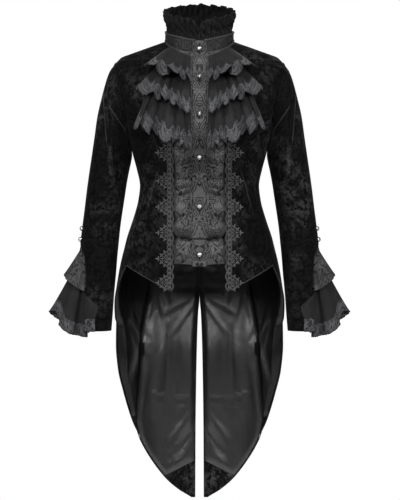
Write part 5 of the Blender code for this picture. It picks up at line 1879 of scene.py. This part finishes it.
def frill_piece(name, grid, finish, side=1):
    """A loose frill: thickened evenly to both sides of a grid whose first row is its hem."""
    normal = unit(np.cross(np.gradient(grid, axis=1), np.gradient(grid, axis=0)))
    half = normal * CHIFFON / 2
    return sewn_shell(name, grid + half, grid - half, finish, side, lengths(grid, 1), lengths(grid, 0))


def collar_frill_grid(samples=14, levels=20):
    """The pleated frill, standing up out of the band's inner face; its first row is its hem."""
    rows = []
    for up in np.linspace(0, 1, levels):
        swing = FRILL_SWING[0] + (FRILL_SWING[1] - FRILL_SWING[0]) * up
        along, out = meander(FRILL_WAVES, swing, samples)
        angles = 0.6 + 358.8 * along
        base = neckline(angles, "band_top")
        back_dip = BACK_DIP * near(angles, 180, BACK_DIP_HALF_ANGLE)
        top = neckline(angles, "frill_top") - (0, 0, 1) * back_dip[:, None]
        lean = FRILL_LEVELS.at("lean", up) + NECK.at("frill_lean", 180 - np.abs(angles - 180)) * up**2
        pleat = (out - out.max() / 2) * 2 * math.pi * NECK_HALF_WIDTH * 0.92
        crumple = np.sin(up * 15 + angles * 0.41 + np.sin(angles * 0.13) * 2) * CRUMPLE * min(1, up * 3)
        depth = lean + pleat + crumple - FRILL_INSET * (1 - up) - RIM_DRAWN_IN * up**2
        root = np.array([0, 0, FRILL_ROOT]) * (1 - up)
        wavy = np.array([0, 0, RIM_WAVE]) * (np.sin(np.radians(angles) * FRILL_WAVES / 2) * up**4)[:, None]
        rows.append(base + (top - base) * up - root + depth[:, None] * out_of_neck(angles) + wavy)
    return np.stack(rows[::-1])


def jabot_grid(tier):
    """One tier of the jabot: gathered where it is sewn on, fluted at its hem."""
    table = JABOT[tier]
    waves = JABOT_WAVES[tier]
    rows = []
    for down in np.linspace(0, 1, JABOT_ROWS):
        swing = JABOT_SWING[0] + (JABOT_SWING[1] - JABOT_SWING[0]) * down**0.8
        along, out = meander(waves, swing, JABOT_SAMPLES, JABOT_UNEVEN[tier])
        x = table.at("top_x", along) * (1 - down) + table.at("hem_x", along) * down
        z = table.at("top_z", along) * (1 - down) + table.at("hem_z", along) * down
        length = np.hypot(np.diff(x), np.diff(z)).sum()
        lift = JABOT_LIFT[tier][0] * (1 - down) + JABOT_LIFT[tier][1] * down
        flute = out * length * JABOT_FLUTE * (0.45 + 0.55 * np.clip(along / 0.45, 0, 1))
        flute = flute * (1 - JABOT_TUCK * near(along, 1, JABOT_TUCK_WIDTH))
        run = np.linspace(0, 1, len(x))
        z = z - JABOT_ZIGZAG * down * np.cos(4 * math.pi * waves * run)
        z = z - HEM_SCALLOP * down**16 * np.abs(np.sin(math.pi * run * waves * SCALLOPS_A_WAVE))
        gathers = GATHER_DEPTH * (1 - down) ** 4 * np.sin(math.pi * 2 * waves * 7 * run)
        thick = outward(face, x, np.minimum(z, -30))
        rows.append(face(x, z) + thick * (lift + flute + gathers * min(1, down * 8))[:, None])
    return np.stack(rows[::-1])


def cuff_frill_grid(tier):
    """A flared frill in the sleeve's vent, from the vent's front edge out and round to its back edge."""
    table = CUFF_FRILL[tier]
    waves = CUFF_WAVES[tier]
    apex = CUFF_APEX[tier]
    along, out = meander(waves, 0.2, CUFF_SAMPLES)
    turns = np.interp(along, (0, 1), CUFF_ROOT_TURNS)
    points = sleeve_point(turns, CUFF_ROOT_STEP)
    away = unit((points - sleeve_point(turns + 180, CUFF_ROOT_STEP)) * (1, 1, 0))
    root = points - away * (VELVET + CUFF_ROOT_GAP[tier])
    rows = []
    for down in np.linspace(CUFF_FIRST_ROW[tier], 1, CUFF_ROWS):
        along, out = meander(waves, 0.2 + CUFF_SWING[tier] * down, CUFF_SAMPLES)
        swing = np.radians(table.at("swing", along))
        run = np.linspace(0, 1, len(along))
        reach = table.at("reach", along) * down
        reach = reach + HEM_SCALLOP * down**20 * np.abs(np.sin(math.pi * run * waves * SCALLOPS_A_WAVE))
        x = apex[0] + reach * np.sin(swing)
        y = apex[1] + (table.at("y", along) - apex[1]) * down
        z = apex[2] - reach * np.cos(swing)
        path = np.stack([x, y, z], axis=-1)
        away = unit(np.cross(np.gradient(path, axis=0), (0, 0, 1.0)) * (1, 1, 0))
        length = np.linalg.norm(np.diff(path, axis=0), axis=1).sum()
        bulge = CUFF_BULGE[tier] * np.sin(math.pi * along) * down
        rows.append(path + away * ((out - out.max() / 2) * length * CUFF_PLEAT + bulge)[:, None])
    rows = [root * (1 - share) + rows[0] * share for share in np.linspace(0, 1, 7)[:-1]] + rows
    return np.stack(rows[::-1])


collar_chiffon = laced_chiffon("collar_chiffon", 3.5, 0.5, crinkle=1.7)
jabot_chiffon = laced_chiffon("jabot_chiffon", 34.0, 1.05)
cuff_chiffon = laced_chiffon("cuff_chiffon", 30.0, 0.95)
# Painted shade: a near-black copy of the chiffon for the face of the collar frill that turns towards the neck, where
# shade falls inside the frill
inner_painted_shade, _, inner_shade_shader = new_cloth("chiffon_wrong_side", 0.8, shine=0.1)
inner_shade_shader.inputs["Base Color"].default_value = (0.007, 0.007, 0.007, 1)

collar_frill = collar_frill_grid()
piece = frill_piece("pleated_collar_frill", collar_frill, collar_chiffon)
# The frill's face towards the neck takes the painted shade
piece.data.materials.append(inner_painted_shade)
for polygon in piece.data.polygons[: (len(collar_frill) - 1) * (collar_frill.shape[1] - 1)]:
    polygon.material_index = 1
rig.replaces(piece, "collar_frill")
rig.slot(piece, "chiffon")
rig.sheet(piece, held="gathered", rests_on=["stand_collar"], **as_cut(collar_frill, 0))

for tier in JABOT:
    grid = jabot_grid(tier)
    for side, sign in SIDES.items():
        piece = frill_piece(f"jabot_{tier}_flounce_{side}", grid, jabot_chiffon, sign)
        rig.replaces(piece, f"jabot_{tier}_{side}")
        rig.slot(piece, "chiffon")
        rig.sheet(piece, held="gathered", rests_on=[f"ruched_front_{side}"], **as_cut(grid))

for tier in CUFF_FRILL:
    grid = cuff_frill_grid(tier)
    finish = cuff_brocade if tier == "upper" else cuff_chiffon
    for side, sign in SIDES.items():
        piece = frill_piece(f"cuff_{tier}_flounce_{side}", grid, finish, sign)
        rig.replaces(piece, f"cuff_frill_{tier}_{side}")
        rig.slot(piece, "brocade" if tier == "upper" else "chiffon")
        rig.sheet(piece, held="gathered", rests_on=[f"velvet_upper_sleeve_{side}"], **as_cut(grid))


# The front end of each lower cuff frill is folded out over the sleeve, as a narrow pointed revers.
# It is of the cuff's own laced chiffon, and lies a little off the upper sleeve.

REVERS_STEPS = (16.12, 14.05)
REVERS_ROOT_TURN = 31.0
REVERS_EDGE = Table("step turn", [(14.05, 30), (14.3, 8), (14.6, -11), (15.3, -3), (16.12, -6)])
REVERS_LIFT = 1.6

steps = np.linspace(*REVERS_STEPS, 25)[:, None]
share = np.linspace(0, 1, 19)[None]
turns = REVERS_ROOT_TURN + (REVERS_EDGE.at("turn", steps) - REVERS_ROOT_TURN) * share
grid = sleeve_point(turns, steps)
away = unit((grid - sleeve_point(turns + 180, np.broadcast_to(steps, turns.shape))) * (1, 1, 0))
grid = grid + away * (REVERS_LIFT + 0.7 * np.sin(share * 9 + steps * 2))[..., None]
for side, sign in SIDES.items():
    piece = frill_piece(f"cuff_revers_{side}", grid, cuff_chiffon, sign)
    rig.slot(piece, "chiffon")
    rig.sheet(piece, held="folded", rests_on=[f"velvet_upper_sleeve_{side}"], **as_cut(grid, 2.0))


# Corded lace edging on the velvet fronts.
# Machine-made lace without a net: satin-stitched petals joined by cords. A band of small flowers follows
# the velvet's edge, and six three-lobed sprays reach out of it; it is sewn flat on the velvet.

TRIM_TOP = -196.0
TRIM_BOTTOM = -568.0
TRIM_INNER_X = 60.6
TRIM_BAND = 11.5
TRIM_POINTS = (-261, -323, -382, -440, -498, -552)
TRIM_BASE = 0.5
PICOT_PITCH = 3.4
FLOWER_PITCH = 10.6

# One spray, measured from its middle at the band's outer edge: a three-leaved head for each arm, by its
# place, its turn from straight out and its size. Those with a place up are repeated below.
SPRAY = Table(
    "number out up turn size",
    [
        (0, 18.5, 0, 0, 1.15),
        (1, 11.5, 6.8, 42, 1.0),
        (2, 4.2, 13.2, 58, 0.95),
        (3, 9.5, 0, 0, 0.8),
        (4, 2.6, 5.8, 50, 0.75),
    ],
)
HEAD_LEAVES = ((0, 3.5, 1.6), (78, 2.8, 1.3), (-78, 2.8, 1.3))
INNER_SCALLOP = 21.5
PETAL_SIDES = 12
PETAL_RINGS = Table("ring reach up", [(0, 1, 0), (1, 1.02, 0.45), (2, 0.72, 0.88), (3, 0.34, 1.0)])
PETAL_TIP = 0.9
PETAL_HEIGHT = 1.3
LACE_CORD_RADIUS = 0.55
LONGEST_SPRAY = 25


def petal_rows():
    """Place x, z, turn, length and width of every petal of one front's lace."""
    rows = []
    for z in np.arange(TRIM_BOTTOM + 1.5, TRIM_TOP, PICOT_PITCH):
        inward = 1.6 + 1.8 * math.cos(math.tau * z / INNER_SCALLOP)
        rows.append((TRIM_INNER_X + 1.0 - inward, z, 0, 1.9, 1.5))
    for z in np.arange(TRIM_BOTTOM + 6, TRIM_TOP - 3, FLOWER_PITCH):
        middle = TRIM_INNER_X + 6.2
        for turn in (45, 135, 225, 315):
            out = np.radians(turn)
            rows.append((middle + 2.5 * np.cos(out), z + 2.5 * np.sin(out), turn, 2.5, 1.45))
        rows.append((middle, z, 0, 1.0, 1.0))
        rows.append((middle, z + FLOWER_PITCH / 2, 0, 2.2, 0.8))
        rows.append((TRIM_INNER_X + TRIM_BAND - 0.6, z + FLOWER_PITCH / 2, 90, 2.4, 0.9))
    for middle in TRIM_POINTS:
        for _, out, up, turn, size in SPRAY.rows:
            for way in (1, -1) if up else (1,):
                if middle + way * up < TRIM_BOTTOM:
                    continue
                for spread, long, wide in HEAD_LEAVES:
                    lean = way * turn + spread
                    off = np.radians(lean)
                    x = TRIM_INNER_X + TRIM_BAND + out + long * size * np.cos(off)
                    z = middle + way * up + long * size * np.sin(off)
                    rows.append((x, z, lean, long * size, wide * size))
    return np.array(rows)


def lace_face(x, z, up):
    """Points on the velvet front, so far above it."""
    return face(x, z) + outward(face, x, z) * np.asarray(up)[..., None]


def lace_mesh(name, rows, side):
    """Domed petals on the velvet, as one mesh of closed bodies."""
    turn = np.linspace(0, math.tau, PETAL_SIDES, endpoint=False)
    x, z, lean, long, wide = rows.T[:, :, None, None]
    reach = PETAL_RINGS.rows[:, 1][:, None]
    up = PETAL_RINGS.rows[:, 2][:, None]
    lean = np.radians(lean)
    off, over = long * reach * np.cos(turn), wide * reach * np.sin(turn)
    place_x = x + off * np.cos(lean) - over * np.sin(lean)
    place_z = z + off * np.sin(lean) + over * np.cos(lean)
    height = np.broadcast_to(TRIM_BASE + PETAL_HEIGHT * up * np.clip(wide / 2, 0.6, 1.1), place_x.shape)
    rings = lace_face(place_x, place_z, height)
    tip_height = TRIM_BASE + PETAL_HEIGHT * np.clip(rows[:, 4] / 2, 0.6, 1.1) * PETAL_TIP
    tips = lace_face(rows[:, 0], rows[:, 1], tip_height)
    points = np.concatenate([rings.reshape(len(rows), -1, 3), tips[:, None]], axis=1)
    levels = len(reach)
    tip = levels * PETAL_SIDES
    index = np.arange(tip).reshape(levels, PETAL_SIDES)
    last, following = index[-1].tolist(), np.roll(index[-1], -1).tolist()
    one = hoop_faces(index) + [[a, b, tip] for a, b in zip(last, following)]
    one += [index[0][::-1].tolist()]
    starts = range(0, len(rows) * (tip + 1), tip + 1)
    faces = [[start + corner for corner in corners] for start in starts for corners in one]
    mesh = bpy.data.meshes.new(name)
    mesh.from_pydata((points.reshape(-1, 3) * (side * MM, MM, MM)).tolist(), [], faces)
    return piece_of(name, mesh, lace)


def lace_cords(name, side):
    """The cords that join the petals: two along the band, and one out along each spray and its arms."""
    cords = []
    z = np.linspace(TRIM_BOTTOM + 1, TRIM_TOP, 260)
    up = np.full(len(z), TRIM_BASE + 0.7)
    for x, wave in ((TRIM_INNER_X + 2.9, 0.5), (TRIM_INNER_X + TRIM_BAND - 0.8, 0.7)):
        cords.append(lace_face(x + wave * np.sin(z * math.tau / FLOWER_PITCH), z, up))
    share = np.linspace(0, 1, 12)
    for middle in TRIM_POINTS:
        arms = [(SPRAY.rows[0, 1], 0)]
        arms += [(row[1], way * row[2]) for row in SPRAY.rows[[1, 2]] for way in (1, -1)]
        for out, up in arms:
            if middle + up < TRIM_BOTTOM + 2:
                continue
            reach, rise = share * out, middle + up * share**1.4
            bow = TRIM_BASE + 0.55 + 0.3 * np.sin(math.pi * share)
            cords.append(lace_face(TRIM_INNER_X + TRIM_BAND - 1 + reach, rise, bow))
    return [tube(name, path, LACE_CORD_RADIUS, lace, side, sides=6) for path in cords]


petals = petal_rows()
for side, sign in SIDES.items():
    piece = joined(f"lace_edging_{side}", [lace_mesh("petals", petals, sign)] + lace_cords("cord", sign))
    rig.replaces(piece, f"lace_trim_{side}")
    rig.slot(piece, "lace")
    area = sum(polygon.area for polygon in piece.data.polygons) / 2
    flat = (TRIM_BAND + LONGEST_SPRAY) * MM, (TRIM_TOP - TRIM_BOTTOM) * MM
    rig.sheet(piece, held="stretched", rests_on=[f"velvet_front_{side}"], flat=flat, area=area)


# Buttons: six down the stand and two at each cuff.
# Cast nickel with a rim, a ring of petals round a raised eye and a darkened ground, on a shank sewn
# through the cloth.

BUTTON_RADIUS = 6.5
CUFF_BUTTONS = (-429, -453)
CUFF_BUTTON_RADIUS = 5.4
CUFF_BUTTON_TILT = 46.0
CUFF_BUTTON_TURN = 69.0
CUFF_BUTTON_RAISED = 1.2
BUTTON_PETALS = 8
RIM_RING = dict(minor_radius=0.07, major_segments=48, minor_segments=12)
EYE_RING = dict(minor_radius=0.045, major_segments=32, minor_segments=8)


def nickel(name, colour, roughness):
    made = bpy.data.materials.new(name)
    made.use_nodes = True
    shader = made.node_tree.nodes["Principled BSDF"]
    shader.inputs["Base Color"].default_value = (*colour, 1)
    shader.inputs["Metallic"].default_value = 1.0
    shader.inputs["Roughness"].default_value = roughness
    return made


bright_nickel = nickel("bright_nickel", (0.82, 0.82, 0.81), 0.32)
dark_nickel = nickel("darkened_nickel", (0.05, 0.05, 0.053), 0.5)


def raised(kind, radius, place, squash, finish, **sizes):
    """One ball, ring or disc of the button, in lengths of its radius, set on the button's ground."""
    bpy.ops.object.select_all(action="DESELECT")
    if kind == "ball":
        bpy.ops.mesh.primitive_uv_sphere_add(radius=radius, **sizes)
    elif kind == "ring":
        bpy.ops.mesh.primitive_torus_add(major_radius=radius, **sizes)
    else:
        bpy.ops.mesh.primitive_cylinder_add(radius=radius, **sizes)
    made = bpy.context.object
    made.data.transform(Matrix.Diagonal((*squash, 1)))
    made.data.transform(Matrix.Translation(place))
    made.data.materials.append(finish)
    made.data.shade_smooth()
    return made


def cast_button():
    """A button of radius 1 that faces +Z, with its shank's foot at the origin."""
    parts = [
        raised("disc", 0.28, (0, 0, 0.2), (1, 1, 1), bright_nickel, depth=0.4, vertices=16),
        raised("ball", 0.97, (0, 0, 0.42), (1, 1, 0.3), dark_nickel, segments=40, ring_count=20),
        raised("ring", 0.93, (0, 0, 0.46), (1, 1, 1), dark_nickel, **RIM_RING),
        raised("ball", 0.76, (0, 0, 0.5), (1, 1, 0.74), bright_nickel, segments=40, ring_count=20),
        raised("ring", 0.26, (0, 0, 1.03), (1, 1, 1), dark_nickel, **EYE_RING),
        raised("ball", 0.2, (0, 0, 1.03), (1, 1, 0.5), bright_nickel, segments=20, ring_count=10),
    ]
    for number in range(BUTTON_PETALS):
        turn = Matrix.Rotation(math.tau * number / BUTTON_PETALS, 4, "Z")
        petal = raised("ball", 0.17, (0, 0, 0), (1.25, 0.8, 0.3), bright_nickel, segments=16, ring_count=8)
        tilt = Matrix.Rotation(math.radians(36), 4, "Y")
        petal.data.transform(turn @ Matrix.Translation((0.5, 0, 0.93)) @ tilt)
        bead = raised("ball", 0.07, (0, 0, 0), (1, 1, 0.8), bright_nickel, segments=12, ring_count=6)
        half = Matrix.Rotation(math.tau * (number + 0.5) / BUTTON_PETALS, 4, "Z")
        bead.data.transform(half @ Matrix.Translation((0.85, 0, 0.56)))
        parts += [petal, bead]
    return joined("cast_button", parts)


pattern_button = cast_button()
hole_thread, _, hole_shader = new_cloth("buttonhole_silk", 0.5, shine=0.3)
hole_shader.inputs["Base Color"].default_value = (0.004, 0.004, 0.0042, 1)


def set_button(node, place, direction, radius):
    """A copy of the button, standing on the cloth and facing along a direction."""
    mesh = pattern_button.data.copy()
    turn = Vector(direction).to_track_quat("Z", "Y").to_matrix().to_4x4()
    mesh.transform(Matrix.Translation(Vector(place) * MM) @ turn @ Matrix.Scale(radius * MM, 4))
    mesh.name = f"cast_{node}"
    made = bpy.data.objects.new(f"cast_{node}", mesh)
    bpy.context.scene.collection.objects.link(made)
    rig.ride(made, "root")
    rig.replaces(made, node)
    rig.slot(made, "buttons")


stand_middle = stand[:, PLACKET_COLUMNS // 2]
for number, z in enumerate(FRONT_BUTTONS, 1):
    depth = np.interp((z, z + 4, z - 4), stand_middle[:, 2], stand_middle[:, 1])
    slope = unit(np.array([0, -8.0, depth[1] - depth[2]]))
    set_button(f"button_{number}", (0, depth[0], z), slope, BUTTON_RADIUS)


# Buttonholes: worked upright down the stand, each a little longer below its button than above.
# Black silk, stitched over the cut edges so that they stand up as a bar.

BUTTONHOLE = (6.0, -11.5)
BUTTONHOLE_RADIUS = 1.5
for number, z in enumerate(FRONT_BUTTONS, 1):
    heights = np.linspace(z + BUTTONHOLE[0], z + BUTTONHOLE[1], 15)
    deep = np.interp(heights, stand_middle[:, 2], stand_middle[:, 1])
    bar = np.stack([np.zeros_like(heights), deep - 0.3, heights], axis=-1)
    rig.slot(tube(f"buttonhole_{number}", bar, BUTTONHOLE_RADIUS, hole_thread), "satin")


# Cord loops at the cuffs: a dark silk cord from the vent's back edge round each cuff button, which
# it fastens.

LOOP_REACH = 26.0
LOOP_HALF_HEIGHT = 3.4
CORD_RADIUS = 0.8


def step_at(z):
    return np.interp(-np.asarray(z, float), -SLEEVE.rows[:, 2], SLEEVE.rows[:, 0])


for side, sign in SIDES.items():
    flip = np.array([sign, 1, 1])
    tilt = np.radians(CUFF_BUTTON_TILT)
    for number, z in enumerate(CUFF_BUTTONS, 1):
        place = sleeve_point(CUFF_BUTTON_TURN, step_at(z))
        centre = (place + sleeve_point(CUFF_BUTTON_TURN + 180, step_at(z))) / 2
        direction = unit(place - centre)
        facing = direction * math.cos(tilt) + np.array([0, -1.0, 0]) * math.sin(tilt)
        place = place + direction * CUFF_BUTTON_RAISED
        set_button(f"cuff_button_{side}_{number}", place * flip, facing * flip, CUFF_BUTTON_RADIUS)
        sweep = np.linspace(-1, 1, 41)
        turns = CUFF_BUTTON_TURN + 4.5 + LOOP_REACH * (np.abs(sweep) ** 2.2) - 9 * (1 - sweep**4)
        heights = z + LOOP_HALF_HEIGHT * np.sin(sweep * math.pi / 2) * (0.6 + 0.4 * (1 - sweep**2))
        rings = step_at(heights)
        path = sleeve_point(turns, rings)
        path = path + unit(path - sleeve_point(turns + 180, rings)) * (0.3 + CORD_RADIUS)
        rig.slot(tube(f"cuff_loop_{side}_{number}", path, CORD_RADIUS, thread, sign), "satin")

bpy.data.objects.remove(pattern_button)


# The two boxes: the solids' own and the dressed coat's

scene_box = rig.bounds()
with open("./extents.json", "w") as size_file:
    json.dump({"cad": [list(corner) for corner in cad_box], "scene": [list(corner) for corner in scene_box]}, size_file)
